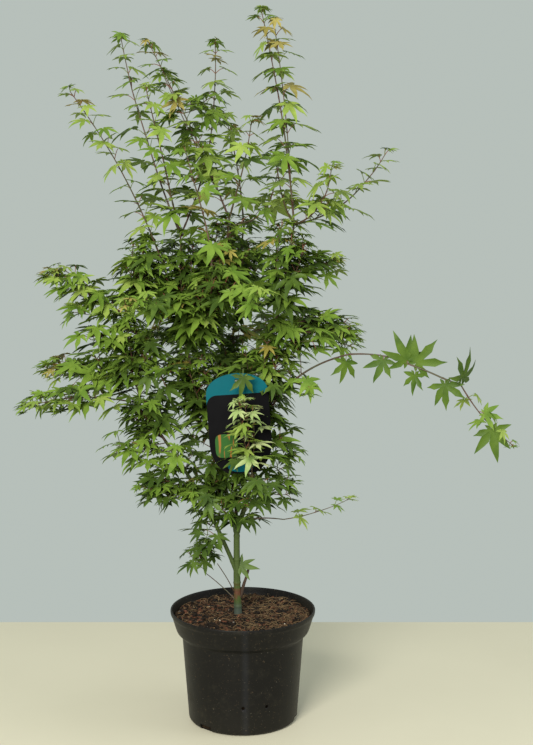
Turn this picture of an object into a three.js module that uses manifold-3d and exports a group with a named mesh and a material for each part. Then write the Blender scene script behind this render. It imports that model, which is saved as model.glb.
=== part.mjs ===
// A young potted Japanese maple: a green trunk forking low, thin boughs, leafy shoots that
// stand up in a fan, one long arching arm, and the nursery pot, soil and hang tag it is sold with.
//
// Frame: millimetres, +Z up, origin at the centre of the pot's flat underside. +X is the side
// of the long arm and -Y is the side the hang tag faces.
//
// Every limb and every foliage mass is one swept solid. Its axis is an arc that starts some way
// along another member and is given by a heading, a reach, a rise and a bow.

import * as THREE from 'three';
import { mergeVertices } from 'three/addons/utils/BufferGeometryUtils.js';
import Module from 'manifold-3d';

const wasm = await Module();
wasm.setup();

// ---------------------------------------------------------------- driving dimensions, mm

const GAP = 0.4; // clear space left between neighbouring solids

const POT = {
  height: 175,
  rimRadius: 112.5,
  lipHeight: 9,
  collarHeight: 33,
  collarRadius: 103,
  stepDrop: 7,
  shoulderRadius: 94,
  baseRadius: 84.5,
  baseRound: 4,
  wall: 2.6,
  floor: 3.2,
  sides: 30,
};

const DRAIN = { notches: 3, notchWidth: 22, notchHeight: 9, notchDepth: 12, firstNotch: 108 };
const WALL_HOLES = { radius: 2.8, height: 46, headings: [-89, -65, 90], sides: 8 };

const SOIL = { level: 163.5, dip: 2.6, flatRadius: 34, rings: [96, 68, 38] };

const TRUNK = { foot: [-7, 0], waist: [-10, 1], waistHeight: 232, fork: [-9, 0], forkHeight: 303 };
const TRUNK_GIRTH = { foot: 5.8, fork: 5.0, flare: 2, flareHeight: 14 };

const TAG = {
  width: 92,
  height: 148,
  shoulder: 30, // height of the arch across its top
  footWidth: 40, // the card narrows towards its foot
  taper: 48, // height of that narrowing
  thickness: 1,
  hole: 3,
  holeDrop: 11, // from the top of the arch
  centre: [-3, -62, 477],
};
const TAG_TURN = { lean: 5, swing: -4 };

// ---------------------------------------------------------------- members of the plant

// Limbs: `on` and `at` say where they start; `root` and `tip` are their radii.
const LIMBS = [
  { name: 'left_bough', on: 'trunk', at: 0.5, heading: -175, reach: 108, rise: 208, bow: 7,
    root: 3.6, tip: 2.4 },
  { name: 'left_fork', on: 'trunk', at: 0.97, heading: 160, reach: 40, rise: 136, bow: 0,
    root: 4.2, tip: 3 },
  { name: 'right_fork', on: 'trunk', at: 0.97, heading: -7, reach: 31, rise: 130, bow: -5,
    root: 4.4, tip: 3 },
  { name: 'back_bough', on: 'trunk', at: 0.93, heading: 93, reach: 78, rise: 140, bow: -8,
    root: 3.4, tip: 2.2 },
  { name: 'front_bough', on: 'right_fork', at: 0.3, heading: -80, reach: 66, rise: 62, bow: -6,
    root: 2.6, tip: 1.6 },
  { name: 'right_low_twig', on: 'right_fork', at: 0.12, heading: -8, reach: 66, rise: 4, bow: 3,
    root: 1.8, tip: 1.2 },
  { name: 'right_arm', on: 'right_fork', at: 0.94, heading: -17, reach: 142, rise: 156, bow: 34,
    root: 2.8, tip: 1.8 },
  { name: 'right_arm_fall', on: 'right_arm', at: 1, heading: -17, reach: 60, rise: -1, bow: 2,
    root: 1.8, tip: 1.4 },
  { name: 'sucker_long', on: 'trunk', at: 0.17, heading: 150, reach: 59, rise: 38, bow: 2,
    root: 1.3, tip: 0.9 },
  { name: 'sucker_short', on: 'trunk', at: 0.2, heading: 215, reach: 37, rise: 63, bow: 2,
    root: 1.2, tip: 0.9 },
  { name: 'dead_snag', on: 'trunk', at: 0.14, heading: -9, reach: 17, rise: 58, bow: 0,
    root: 2.6, tip: 1.7 },
];

// Foliage: `girth` is the half size up and down, `breadth` the half size sideways, and
// `thin` the share of both that is left at the far end.
const MASSES = [
  { name: 'left_low_mass', on: 'left_bough', at: 0.7, heading: 181, reach: 82, rise: 138, bow: -3,
    girth: 60, breadth: 52, thin: 0.9 },
  { name: 'left_mid_mass', on: 'left_low_mass', at: 0.85, heading: 174, reach: 14, rise: 150, bow: -5,
    girth: 56, breadth: 52, thin: 0.9 },
  { name: 'left_top_mass', on: 'left_mid_mass', at: 0.85, heading: 40, reach: 26, rise: 128, bow: 0,
    girth: 44, breadth: 42, thin: 0.8 },
  { name: 'centre_left_mass', on: 'left_fork', at: 1, heading: 171, reach: 42, rise: 170, bow: -3,
    girth: 58, breadth: 52, thin: 1 },
  { name: 'centre_right_mass', on: 'right_fork', at: 1, heading: -20, reach: 24, rise: 204, bow: -1,
    girth: 56, breadth: 52, thin: 1 },
  { name: 'upper_left_mass', on: 'centre_left_mass', at: 0.88, heading: -140, reach: 16, rise: 190, bow: -2,
    girth: 64, breadth: 60, thin: 0.8 },
  { name: 'upper_centre_mass', on: 'centre_left_mass', at: 0.8, heading: -30, reach: 84, rise: 230, bow: 6,
    girth: 56, breadth: 54, thin: 0.8 },
  { name: 'upper_right_mass', on: 'centre_right_mass', at: 0.88, heading: -5, reach: 36, rise: 180, bow: -6,
    girth: 60, breadth: 56, thin: 0.8 },
  { name: 'back_low_mass', on: 'back_bough', at: 1, heading: 100, reach: 34, rise: 170, bow: 0,
    girth: 60, breadth: 60, thin: 1 },
  { name: 'back_high_mass', on: 'back_low_mass', at: 0.86, heading: -20, reach: 26, rise: 200, bow: 0,
    girth: 58, breadth: 56, thin: 0.8 },
  { name: 'front_low_mass', on: 'front_bough', at: 1, heading: -106, reach: 36, rise: 126, bow: -4,
    girth: 27, breadth: 31, thin: 0.8 },
  { name: 'front_high_mass', on: 'centre_left_mass', at: 0.7, heading: -70, reach: 112, rise: 184, bow: -16,
    girth: 56, breadth: 52, thin: 0.8 },
  { name: 'left_foot_spray', on: 'left_bough', at: 0.5, heading: 190, reach: 112, rise: 30, bow: 12,
    girth: 36, breadth: 34, thin: 0.8 },
  { name: 'left_inner_spray', on: 'left_fork', at: 0.5, heading: 215, reach: 66, rise: -34, bow: 6,
    girth: 36, breadth: 32, thin: 0.9 },
  { name: 'right_foot_spray', on: 'right_fork', at: 0.34, heading: 12, reach: 86, rise: 22, bow: 12,
    girth: 32, breadth: 32, thin: 0.8 },
  { name: 'right_low_spray', on: 'right_fork', at: 0.72, heading: 15, reach: 86, rise: 30, bow: 12,
    girth: 32, breadth: 34, thin: 0.7 },
  { name: 'right_side_spray', on: 'centre_right_mass', at: 0.76, heading: 8, reach: 142, rise: -8, bow: 40,
    girth: 50, breadth: 42, thin: 0.6 },
  { name: 'right_upper_spray', on: 'upper_right_mass', at: 0.3, heading: 30, reach: 108, rise: 48, bow: 15,
    girth: 36, breadth: 40, thin: 0.7 },
  { name: 'left_high_spray', on: 'left_mid_mass', at: 0.76, heading: 185, reach: 142, rise: 92, bow: 8,
    girth: 44, breadth: 36, thin: 0.7 },
  { name: 'left_long_spray', on: 'left_mid_mass', at: 0.1, heading: 169, reach: 166, rise: 34, bow: 18,
    girth: 38, breadth: 36, thin: 0.7 },
  { name: 'left_tip_spray', on: 'left_low_mass', at: 0.7, heading: 189, reach: 204, rise: 16, bow: 26,
    girth: 27, breadth: 28, thin: 0.7 },
  { name: 'back_left_spray', on: 'back_low_mass', at: 0.5, heading: 140, reach: 190, rise: 60, bow: 18,
    girth: 36, breadth: 40, thin: 0.7 },
  { name: 'back_right_spray', on: 'back_low_mass', at: 0.7, heading: 42, reach: 186, rise: 52, bow: 18,
    girth: 36, breadth: 40, thin: 0.7 },
  { name: 'back_far_spray', on: 'back_low_mass', at: 0.35, heading: 88, reach: 142, rise: 34, bow: 18,
    girth: 36, breadth: 40, thin: 0.7 },
  { name: 'front_left_spray', on: 'front_high_mass', at: 0.35, heading: 224, reach: 160, rise: 46, bow: 18,
    girth: 36, breadth: 38, thin: 0.7 },
  { name: 'front_right_spray', on: 'front_high_mass', at: 0.5, heading: -50, reach: 150, rise: 44, bow: 18,
    girth: 36, breadth: 38, thin: 0.7 },
  { name: 'shoot_far_left', on: 'centre_left_mass', at: 0.95, heading: 202, reach: 182, rise: 374, bow: 24,
    girth: 32, breadth: 32, thin: 0.6 },
  { name: 'shoot_left', on: 'upper_left_mass', at: 0.5, heading: 158, reach: 102, rise: 375, bow: 2,
    girth: 34, breadth: 34, thin: 0.6 },
  { name: 'shoot_left_inner', on: 'upper_left_mass', at: 0.75, heading: 244, reach: 96, rise: 242, bow: 6,
    girth: 30, breadth: 30, thin: 0.7 },
  { name: 'shoot_leaning', on: 'upper_centre_mass', at: 0.8, heading: 145, reach: 146, rise: 282, bow: 17,
    girth: 34, breadth: 32, thin: 0.8 },
  { name: 'shoot_middle', on: 'upper_left_mass', at: 0.9, heading: 32, reach: 60, rise: 290, bow: -28,
    girth: 30, breadth: 30, thin: 0.6 },
  { name: 'shoot_mid_short', on: 'upper_centre_mass', at: 0.88, heading: -45, reach: 51, rise: 146, bow: -5,
    girth: 36, breadth: 36, thin: 0.8 },
  { name: 'shoot_tall', on: 'upper_right_mass', at: 0.8, heading: 191, reach: 54, rise: 330, bow: 12,
    girth: 44, breadth: 40, thin: 0.8 },
  { name: 'shoot_right_inner', on: 'upper_right_mass', at: 0.75, heading: 108, reach: 84, rise: 130, bow: 1,
    girth: 32, breadth: 32, thin: 0.7 },
  { name: 'shoot_right', on: 'upper_right_mass', at: 0.66, heading: 19, reach: 156, rise: 150, bow: -7,
    girth: 36, breadth: 34, thin: 0.8 },
  { name: 'shoot_right_front', on: 'upper_right_mass', at: 0.7, heading: -40, reach: 77, rise: 122, bow: -9,
    girth: 32, breadth: 32, thin: 0.7 },
  { name: 'shoot_back', on: 'back_high_mass', at: 0.8, heading: 120, reach: 56, rise: 190, bow: 10,
    girth: 34, breadth: 34, thin: 0.6 },
  { name: 'shoot_front', on: 'front_high_mass', at: 0.84, heading: 196, reach: 40, rise: 176, bow: 8,
    girth: 36, breadth: 34, thin: 0.6 },
  { name: 'shoot_back_right', on: 'back_high_mass', at: 0.6, heading: 48, reach: 92, rise: 170, bow: -8,
    girth: 36, breadth: 34, thin: 0.6 },
  { name: 'low_right_leaves', on: 'right_low_twig', at: 1, heading: -12, reach: 116, rise: 42, bow: -5,
    girth: 13, breadth: 24, thin: 0.9 },
  { name: 'sucker_leaves', on: 'sucker_long', at: 0.9, heading: 165, reach: 30, rise: 58, bow: 6,
    girth: 34, breadth: 28, thin: 0.9 },
  { name: 'arm_inner_leaves', on: 'right_arm', at: 0.94, heading: -20, reach: 96, rise: -50, bow: 8,
    girth: 36, breadth: 26, thin: 0.9 },
  { name: 'arm_middle_leaves', on: 'right_arm_fall', at: 1, heading: -12, reach: 108, rise: -52, bow: 14,
    girth: 62, breadth: 26, thin: 0.9 },
  { name: 'arm_tip_leaves', on: 'arm_middle_leaves', at: 0.94, heading: -6, reach: 88, rise: -90, bow: 0,
    girth: 38, breadth: 24, thin: 0.9 },
];

const LIMB_SIDES = 6;
const LIMB_STEP = 40; // length of one segment of a limb
const MASS_SIDES = 8;
const MASS_STEP = 42; // length of one band of a mass
const MASS_BANDS = { fewest: 6, most: 7 };

// ---------------------------------------------------------------- solids

/** The exact solid of a closed three.js geometry. */
function solidOf(geometry) {
  const bare = geometry.index ? geometry.clone() : mergeVertices(geometry.clone());
  bare.deleteAttribute('normal');
  bare.deleteAttribute('uv');
  const merged = mergeVertices(bare, 1e-4);
  const vertProperties = new Float32Array(merged.attributes.position.array);
  const triVerts = new Uint32Array(merged.index.array);
  return new wasm.Manifold(new wasm.Mesh({ numProp: 3, vertProperties, triVerts }));
}

/** A solid as a three.js geometry, ready for a mesh. */
function geometryOf(solid) {
  const mesh = solid.getMesh();
  const geometry = new THREE.BufferGeometry();
  geometry.setAttribute('position', new THREE.Float32BufferAttribute(mesh.vertProperties, 3));
  geometry.setIndex(Array.from(mesh.triVerts));
  geometry.computeVertexNormals();
  return geometry;
}

/** The largest of the separate bodies that a cut has left. */
function largestBody(solid) {
  return solid.decompose().reduce((best, body) => (body.volume() > best.volume() ? body : best));
}

/** A mesh with its own plain material. */
function makeMesh(name, geometry, colour, roughness) {
  const material = new THREE.MeshStandardMaterial({ color: colour, roughness, metalness: 0 });
  const mesh = new THREE.Mesh(geometry, material);
  mesh.name = name;
  return mesh;
}

// ---------------------------------------------------------------- axes

/** The unit vector square to `along` that points most nearly upwards. */
function upAcross(along) {
  const up = new THREE.Vector3(0, 0, 1);
  up.addScaledVector(along, -up.dot(along));
  return up.lengthSq() > 0.01 ? up.normalize() : new THREE.Vector3(0, -1, 0);
}

/** An arc from `start`, out along a heading, with its middle lifted by the bow. */
function arcFrom(start, { heading, reach, rise, bow }) {
  const turn = THREE.MathUtils.degToRad(heading);
  const span = new THREE.Vector3(reach * Math.cos(turn), reach * Math.sin(turn), rise);
  const tip = start.clone().add(span);
  const middle = start.clone().addScaledVector(span, 0.5);
  middle.addScaledVector(upAcross(span.normalize()), 2 * bow);
  return new THREE.QuadraticBezierCurve3(start, middle, tip);
}

/** The trunk's axis, from the soil to its fork. */
function trunkAxis() {
  const foot = new THREE.Vector3(...TRUNK.foot, SOIL.level - 4);
  const waist = new THREE.Vector3(...TRUNK.waist, TRUNK.waistHeight);
  const fork = new THREE.Vector3(...TRUNK.fork, TRUNK.forkHeight);
  return new THREE.QuadraticBezierCurve3(foot, waist, fork);
}

/** The axis of every member, found from the trunk outwards. */
function memberAxes() {
  const axes = new Map([['trunk', trunkAxis()]]);
  for (const member of [...LIMBS, ...MASSES]) {
    const start = axes.get(member.on).getPoint(member.at);
    axes.set(member.name, arcFrom(start, member));
  }
  return axes;
}

/**
 * Bends a geometry that stands along its own Y, from 0 to 1, onto an axis. `widths(t, angle)`
 * gives its half sizes there, sideways and upwards.
 */
function sweepAlong(axis, geometry, widths) {
  const span = axis.getPoint(1).sub(axis.getPoint(0));
  const side = new THREE.Vector3().crossVectors(upAcross(span.normalize()), span).normalize();
  const position = geometry.attributes.position;
  const point = new THREE.Vector3();
  for (let i = 0; i < position.count; i += 1) {
    point.fromBufferAttribute(position, i);
    const t = THREE.MathUtils.clamp(point.y, 0, 1);
    const along = axis.getTangent(t);
    const across = new THREE.Vector3().crossVectors(side, along).normalize();
    const [breadth, girth] = widths(t, Math.atan2(point.z, point.x));
    const place = axis.getPoint(t);
    place.addScaledVector(side, point.x * breadth);
    place.addScaledVector(across, point.z * girth);
    place.addScaledVector(along, point.y - t);
    position.setXYZ(i, place.x, place.y, place.z);
  }
  return geometry;
}

// ---------------------------------------------------------------- trunk and limbs

/** A tapering limb on an axis. `radiusAt` gives its radius at t, and `grow` thickens it all over. */
function limbSolid(axis, radiusAt, grow = 0) {
  const segments = Math.max(3, Math.round(axis.getLength() / LIMB_STEP));
  const geometry = new THREE.CylinderGeometry(1, 1, 1, LIMB_SIDES, segments);
  geometry.translate(0, 0.5, 0);
  return solidOf(sweepAlong(axis, geometry, (t) => {
    const radius = radiusAt(t) + grow;
    return [radius, radius];
  }));
}

/** The trunk's radius: an even taper with a flare where it meets the soil. */
function trunkRadius(t) {
  const height = t * (TRUNK.forkHeight - SOIL.level);
  const flare = TRUNK_GIRTH.flare * Math.exp(-height / TRUNK_GIRTH.flareHeight);
  return THREE.MathUtils.lerp(TRUNK_GIRTH.foot, TRUNK_GIRTH.fork, t) + flare;
}

/** The radius along a limb, from its root to its tip. */
function limbRadius(limb) {
  return (t) => THREE.MathUtils.lerp(limb.root, limb.tip, t);
}

// ---------------------------------------------------------------- foliage masses

/** A number from 0 to 1 that belongs to a name, so that every mass is uneven in its own way. */
function chanceOf(name) {
  let total = 7;
  for (const letter of name) {
    total = (total * 31 + letter.charCodeAt(0)) % 9973;
  }
  return total / 9973;
}

/** How far a mass swells or shrinks at an angle round its axis, as a share of its width. */
function unevenness(t, angle, chance) {
  const phase = 2 * Math.PI * chance;
  const lobes = 0.13 * Math.sin(2 * angle + 5 * t + phase);
  const knots = 0.1 * Math.sin(3 * angle - 9 * t + 2 * phase);
  const waves = 0.1 * Math.sin(11 * t + 3 * phase);
  return 1 + lobes + knots + waves;
}

/** One closed, uneven mass of leaves round an axis. `grow` makes it larger all over. */
function massSolid(axis, mass, grow = 0) {
  const steps = Math.round(axis.getLength() / MASS_STEP) + 3;
  const bands = THREE.MathUtils.clamp(steps, MASS_BANDS.fewest, MASS_BANDS.most);
  const geometry = new THREE.SphereGeometry(1, MASS_SIDES, bands);
  const position = geometry.attributes.position;
  for (let i = 0; i < position.count; i += 1) {
    const down = Math.acos(THREE.MathUtils.clamp(position.getY(i), -1, 1)) / Math.PI;
    const round = Math.hypot(position.getX(i), position.getZ(i)) || 1;
    const onAxis = down < 1e-4 || down > 1 - 1e-4;
    const scale = onAxis ? 0 : 1 / round;
    position.setXYZ(i, position.getX(i) * scale, 1 - down, position.getZ(i) * scale);
  }
  const chance = chanceOf(mass.name);
  return solidOf(sweepAlong(axis, geometry, (t, angle) => {
    const full = Math.sin(Math.PI * t) ** 0.6 * THREE.MathUtils.lerp(1, mass.thin, t);
    const uneven = full * unevenness(t, angle, chance);
    return [mass.breadth * uneven + grow, mass.girth * uneven + grow];
  }));
}

// ---------------------------------------------------------------- pot, soil and tag

/** The pot's outer outline from the edge of its base to its rim, as radius and height. */
function potOuterOutline() {
  const collarFoot = POT.height - POT.collarHeight;
  return [
    [POT.baseRadius - POT.baseRound, 0],
    [POT.baseRadius - 0.25 * POT.baseRound, 0.3 * POT.baseRound],
    [POT.baseRadius, POT.baseRound],
    [POT.shoulderRadius, collarFoot - POT.stepDrop],
    [POT.collarRadius, collarFoot],
    [POT.rimRadius - 4, POT.height - POT.lipHeight],
    [POT.rimRadius, POT.height - POT.lipHeight + 3],
    [POT.rimRadius, POT.height],
  ];
}

/** The outline of the pot's inside, from its rim down to its floor, drawn in by `inset`. */
function potInnerOutline(inset) {
  const collarFoot = POT.height - POT.collarHeight;
  const inwards = POT.wall + inset;
  return [
    [POT.rimRadius - inwards, POT.height],
    [POT.rimRadius - 4 - inwards, POT.height - POT.lipHeight],
    [POT.collarRadius - inwards, collarFoot + POT.wall],
    [POT.shoulderRadius - inwards, collarFoot - POT.stepDrop + POT.wall],
    [POT.baseRadius - inwards, POT.floor + inset],
  ];
}

/** A closed solid of revolution about Z, from an outline of radii and heights. */
function turned(outline, sides) {
  const points = outline.map(([radius, height]) => new THREE.Vector2(radius, height));
  const geometry = new THREE.LatheGeometry(points, sides);
  return geometry.rotateX(Math.PI / 2);
}

/** The nursery pot: a turned wall with a collar, drain notches and small holes in its wall. */
function potGeometry() {
  const outline = [[0, 0], ...potOuterOutline(), ...potInnerOutline(0), [0, POT.floor]];
  let pot = solidOf(turned(outline, POT.sides));
  for (let i = 0; i < DRAIN.notches; i += 1) {
    const turn = THREE.MathUtils.degToRad(DRAIN.firstNotch) + (2 * Math.PI * i) / DRAIN.notches;
    const notch = new THREE.BoxGeometry(DRAIN.notchDepth, DRAIN.notchWidth, 2 * DRAIN.notchHeight);
    notch.translate(POT.baseRadius, 0, 0);
    pot = pot.subtract(solidOf(notch.rotateZ(turn)));
  }
  for (const heading of WALL_HOLES.headings) {
    const hole = new THREE.CylinderGeometry(WALL_HOLES.radius, WALL_HOLES.radius, 20, WALL_HOLES.sides);
    hole.rotateZ(Math.PI / 2);
    hole.translate(POT.baseRadius, 0, WALL_HOLES.height);
    pot = pot.subtract(solidOf(hole.rotateZ(THREE.MathUtils.degToRad(heading))));
  }
  return geometryOf(largestBody(pot));
}

/** How far the soil lies below its level at a place, and nothing round the foot of the trunk. */
function soilDip(x, y) {
  const away = Math.hypot(x - TRUNK.foot[0], y - TRUNK.foot[1]);
  const fade = THREE.MathUtils.smoothstep(away, SOIL.flatRadius * 0.6, SOIL.flatRadius * 1.6);
  const waves = 0.5 + 0.25 * Math.sin(x / 13 + y / 29) + 0.25 * Math.sin(y / 11 - x / 23);
  return SOIL.dip * fade * waves;
}

/** The soil: it fills the pot to just below the rim, with an uneven top. */
function soilGeometry() {
  const [, lip, collar, ...lower] = potInnerOutline(GAP);
  const share = (SOIL.level - SOIL.dip - collar[1]) / (lip[1] - collar[1]);
  const edge = [THREE.MathUtils.lerp(collar[0], lip[0], share), SOIL.level];
  const top = [edge, ...SOIL.rings.map((radius) => [radius, SOIL.level]), [0, SOIL.level]];
  const outline = [[0, POT.floor + GAP], ...lower.reverse(), collar, ...top];
  const geometry = turned(outline, POT.sides);
  const position = geometry.attributes.position;
  for (let i = 0; i < position.count; i += 1) {
    if (position.getZ(i) > SOIL.level - 0.01) {
      position.setZ(i, SOIL.level - soilDip(position.getX(i), position.getY(i)));
    }
  }
  return geometryOf(solidOf(geometry));
}

/** The hang tag: a thin card, arched at its top and narrower at its foot, that leans on the leaves. */
function tagSolid(grow = 0) {
  const half = TAG.width / 2 + grow;
  const footHalf = TAG.footWidth / 2 + grow;
  const foot = -TAG.height / 2 - grow;
  const top = TAG.height / 2 + grow;
  const shoulder = TAG.height / 2 - TAG.shoulder;
  const archControl = shoulder + (top - shoulder) * (4 / 3);
  const outline = new THREE.Shape();
  outline.moveTo(-footHalf, foot);
  outline.lineTo(footHalf, foot);
  outline.quadraticCurveTo(half, foot + TAG.taper * 0.3, half, foot + TAG.taper);
  outline.lineTo(half, shoulder);
  outline.bezierCurveTo(half, archControl, -half, archControl, -half, shoulder);
  outline.lineTo(-half, foot + TAG.taper);
  outline.quadraticCurveTo(-half, foot + TAG.taper * 0.3, -footHalf, foot);
  if (grow === 0) {
    const hole = new THREE.Path();
    hole.absarc(0, TAG.height / 2 - TAG.holeDrop, TAG.hole, 0, 2 * Math.PI, true);
    outline.holes.push(hole);
  }
  const depth = TAG.thickness + 2 * grow;
  const geometry = new THREE.ExtrudeGeometry(outline, { depth, bevelEnabled: false, curveSegments: 6 });
  geometry.translate(0, 0, -depth / 2);
  geometry.rotateX(Math.PI / 2);
  geometry.rotateX(THREE.MathUtils.degToRad(-TAG_TURN.lean));
  geometry.rotateY(THREE.MathUtils.degToRad(TAG_TURN.swing));
  geometry.translate(...TAG.centre);
  return solidOf(geometry);
}

// ---------------------------------------------------------------- assembly

const plant = new THREE.Group();
const boughs = new THREE.Group();
const foliage = new THREE.Group();
plant.add(boughs, foliage);

plant.add(makeMesh('pot', potGeometry(), 0x1e1e1c, 0.45));
plant.add(makeMesh('soil', soilGeometry(), 0x3d2a1b, 0.95));
plant.add(makeMesh('hang_tag', geometryOf(tagSolid()), 0x17484a, 0.35));

/** Everything below the soil, which the foot of the trunk is cut flat against. */
function groundSolid() {
  const ground = new THREE.BoxGeometry(2 * POT.rimRadius, 2 * POT.rimRadius, SOIL.level);
  ground.translate(0, 0, SOIL.level / 2 + GAP);
  return solidOf(ground);
}

const axes = memberAxes();
const taken = [groundSolid(), tagSolid(GAP)]; // grown solids of what already stands in the space

/** Cuts a solid clear of its neighbours, adds it, and remembers its grown form. */
function place(group, name, solid, grown, colour, roughness) {
  const box = solid.boundingBox();
  const near = taken.filter((other) => {
    const { min, max } = other.boundingBox();
    return [0, 1, 2].every((k) => min[k] < box.max[k] && max[k] > box.min[k]);
  });
  const clear = near.reduce((left, other) => left.subtract(other), solid);
  group.add(makeMesh(name, geometryOf(largestBody(clear)), colour, roughness));
  taken.push(grown);
}

const trunk = axes.get('trunk');
place(boughs, 'trunk', limbSolid(trunk, trunkRadius), limbSolid(trunk, trunkRadius, GAP), 0x4e5e33, 0.6);

for (const limb of LIMBS) {
  const axis = axes.get(limb.name);
  const radiusAt = limbRadius(limb);
  const colour = limb.name === 'dead_snag' ? 0x33241b : 0x56602f;
  place(boughs, limb.name, limbSolid(axis, radiusAt), limbSolid(axis, radiusAt, GAP), colour, 0.6);
}

for (const mass of MASSES) {
  const axis = axes.get(mass.name);
  place(foliage, mass.name, massSolid(axis, mass), massSolid(axis, mass, GAP), 0x4f7a2c, 0.85);
}

export default plant;
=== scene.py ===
# A young potted Japanese maple: nursery pot, compost, green trunk and boughs, thin shoots that
# grow on from them, leaves in sprays, and a hang tag without text. Metres, +Z up, where the frame
# has them.

import math

import bpy
import numpy as np
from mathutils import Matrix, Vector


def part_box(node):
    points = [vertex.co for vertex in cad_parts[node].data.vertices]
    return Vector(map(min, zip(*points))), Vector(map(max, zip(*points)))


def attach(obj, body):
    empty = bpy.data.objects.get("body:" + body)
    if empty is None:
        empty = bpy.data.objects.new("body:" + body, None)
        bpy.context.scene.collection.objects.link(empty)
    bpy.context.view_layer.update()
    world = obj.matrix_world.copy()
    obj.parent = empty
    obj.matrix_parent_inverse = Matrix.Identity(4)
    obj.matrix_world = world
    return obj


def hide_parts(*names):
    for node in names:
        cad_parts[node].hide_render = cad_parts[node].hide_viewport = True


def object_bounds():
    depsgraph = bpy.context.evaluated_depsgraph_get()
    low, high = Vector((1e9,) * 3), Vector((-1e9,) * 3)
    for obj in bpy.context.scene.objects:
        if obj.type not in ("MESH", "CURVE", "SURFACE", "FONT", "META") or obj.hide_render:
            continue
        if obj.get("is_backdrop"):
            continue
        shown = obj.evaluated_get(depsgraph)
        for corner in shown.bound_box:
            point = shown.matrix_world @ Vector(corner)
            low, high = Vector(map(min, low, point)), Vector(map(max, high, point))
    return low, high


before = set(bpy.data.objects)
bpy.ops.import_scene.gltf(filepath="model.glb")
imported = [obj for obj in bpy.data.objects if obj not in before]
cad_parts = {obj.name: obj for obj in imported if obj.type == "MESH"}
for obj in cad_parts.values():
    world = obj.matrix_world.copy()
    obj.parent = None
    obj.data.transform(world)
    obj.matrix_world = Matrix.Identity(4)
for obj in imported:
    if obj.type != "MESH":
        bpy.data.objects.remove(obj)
cad_low, cad_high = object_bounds()

# ---------------------------------------------------------------- the nursery pot
# Thin black polypropylene, injection moulded: a deep collar to stack by, a rolled lip, drain
# notches round the foot and a few small holes low in the wall. The potting dust has dulled it;
# its sides are lightened further by a painted sheen, and a painted highlight runs down its front.


def operator(operation):
    """The methods of one operator, with the wire first and with it second: each a Math node."""
    return (
        lambda wire, other: wire.join(operation, wire, other),
        lambda wire, other: wire.join(operation, other, wire),
    )


class Wire:
    """A socket that can be written in sums: an expression on values adds its Math nodes."""

    def __init__(self, look, socket):
        self.look = look
        self.socket = socket

    def join(self, operation, first, second):
        """The Math node of one operation on two values, either of which may be a plain number."""
        return self.look.node("ShaderNodeMath", {"operation": operation}, {0: first, 1: second})

    __add__, __radd__ = operator("ADD")
    __sub__, __rsub__ = operator("SUBTRACT")
    __mul__, __rmul__ = operator("MULTIPLY")
    __truediv__, __rtruediv__ = operator("DIVIDE")
    __pow__, __rpow__ = operator("POWER")
    __gt__, __lt__ = operator("GREATER_THAN")

    def above(self, limit):
        """The value, or the limit where that is larger."""
        return self.join("MAXIMUM", self, limit)


class Look:
    """A material, with one method that adds any node and a few that name the common ones."""

    def __init__(self, name, roughness, specular=0.5):
        self.material = bpy.data.materials.new(name)
        self.material.use_nodes = True
        self.tree = self.material.node_tree
        self.surface = self.tree.nodes["Principled BSDF"]
        self.surface.inputs["Roughness"].default_value = roughness
        self.surface.inputs["Specular IOR Level"].default_value = specular

    def node(self, kind, settings, sockets, output=0):
        """Adds a node: its settings first, then the values or links of its sockets."""
        made = self.tree.nodes.new(kind)
        for setting, value in settings.items():
            if setting == "stops":
                while len(made.color_ramp.elements) < len(value):
                    made.color_ramp.elements.new(0.5)
                for element, (place, colour) in zip(made.color_ramp.elements, value):
                    element.position = place
                    element.color = (*colour, 1)
            else:
                setattr(made, setting, value)
        for socket, value in sockets.items():
            if isinstance(value, Wire):
                self.tree.links.new(value.socket, made.inputs[socket])
            else:
                made.inputs[socket].default_value = value
        return Wire(self, made.outputs[output])

    def place(self):
        """The point's own place on the object."""
        return self.node("ShaderNodeTexCoord", {}, {}, "Object")

    def stretched(self, scale):
        """The point's place with each axis scaled, which draws a pattern out along the smallest."""
        return self.node("ShaderNodeMapping", {}, {"Vector": self.place(), "Scale": scale})

    def axis(self, name):
        """One coordinate of the point's place, in metres."""
        return self.node("ShaderNodeSeparateXYZ", {}, {0: self.place()}, name)

    def noise(self, scale, detail=3.0, roughness=0.55, at=None):
        """Soft cloudy noise from 0 to 1."""
        sockets = {"Scale": scale, "Detail": detail, "Roughness": roughness, "Vector": at or self.place()}
        return self.node("ShaderNodeTexNoise", {}, sockets, "Fac")

    def ramp(self, value, low, high):
        """0 below low, 1 above high, and a smooth step between them."""
        settings = {"interpolation_type": "SMOOTHSTEP"}
        return self.node("ShaderNodeMapRange", settings, {0: value, 1: low, 2: high})

    def mix(self, share, first, second):
        """The first colour where share is 0 and the second where it is 1."""
        pair = [c if isinstance(c, Wire) else (*c, 1) for c in (first, second)]
        return self.node("ShaderNodeMix", {"data_type": "RGBA"}, {0: share, 6: pair[0], 7: pair[1]}, 2)

    def feed(self, socket, value):
        """Links a value or colour to the surface."""
        self.tree.links.new(value.socket, self.surface.inputs[socket])

    def raise_by(self, height, distance, strength=1.0):
        """Bumps the surface by a height from 0 to 1, times a distance in metres."""
        sockets = {"Height": height, "Distance": distance, "Strength": strength}
        self.feed("Normal", self.node("ShaderNodeBump", {}, sockets, "Normal"))


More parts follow.
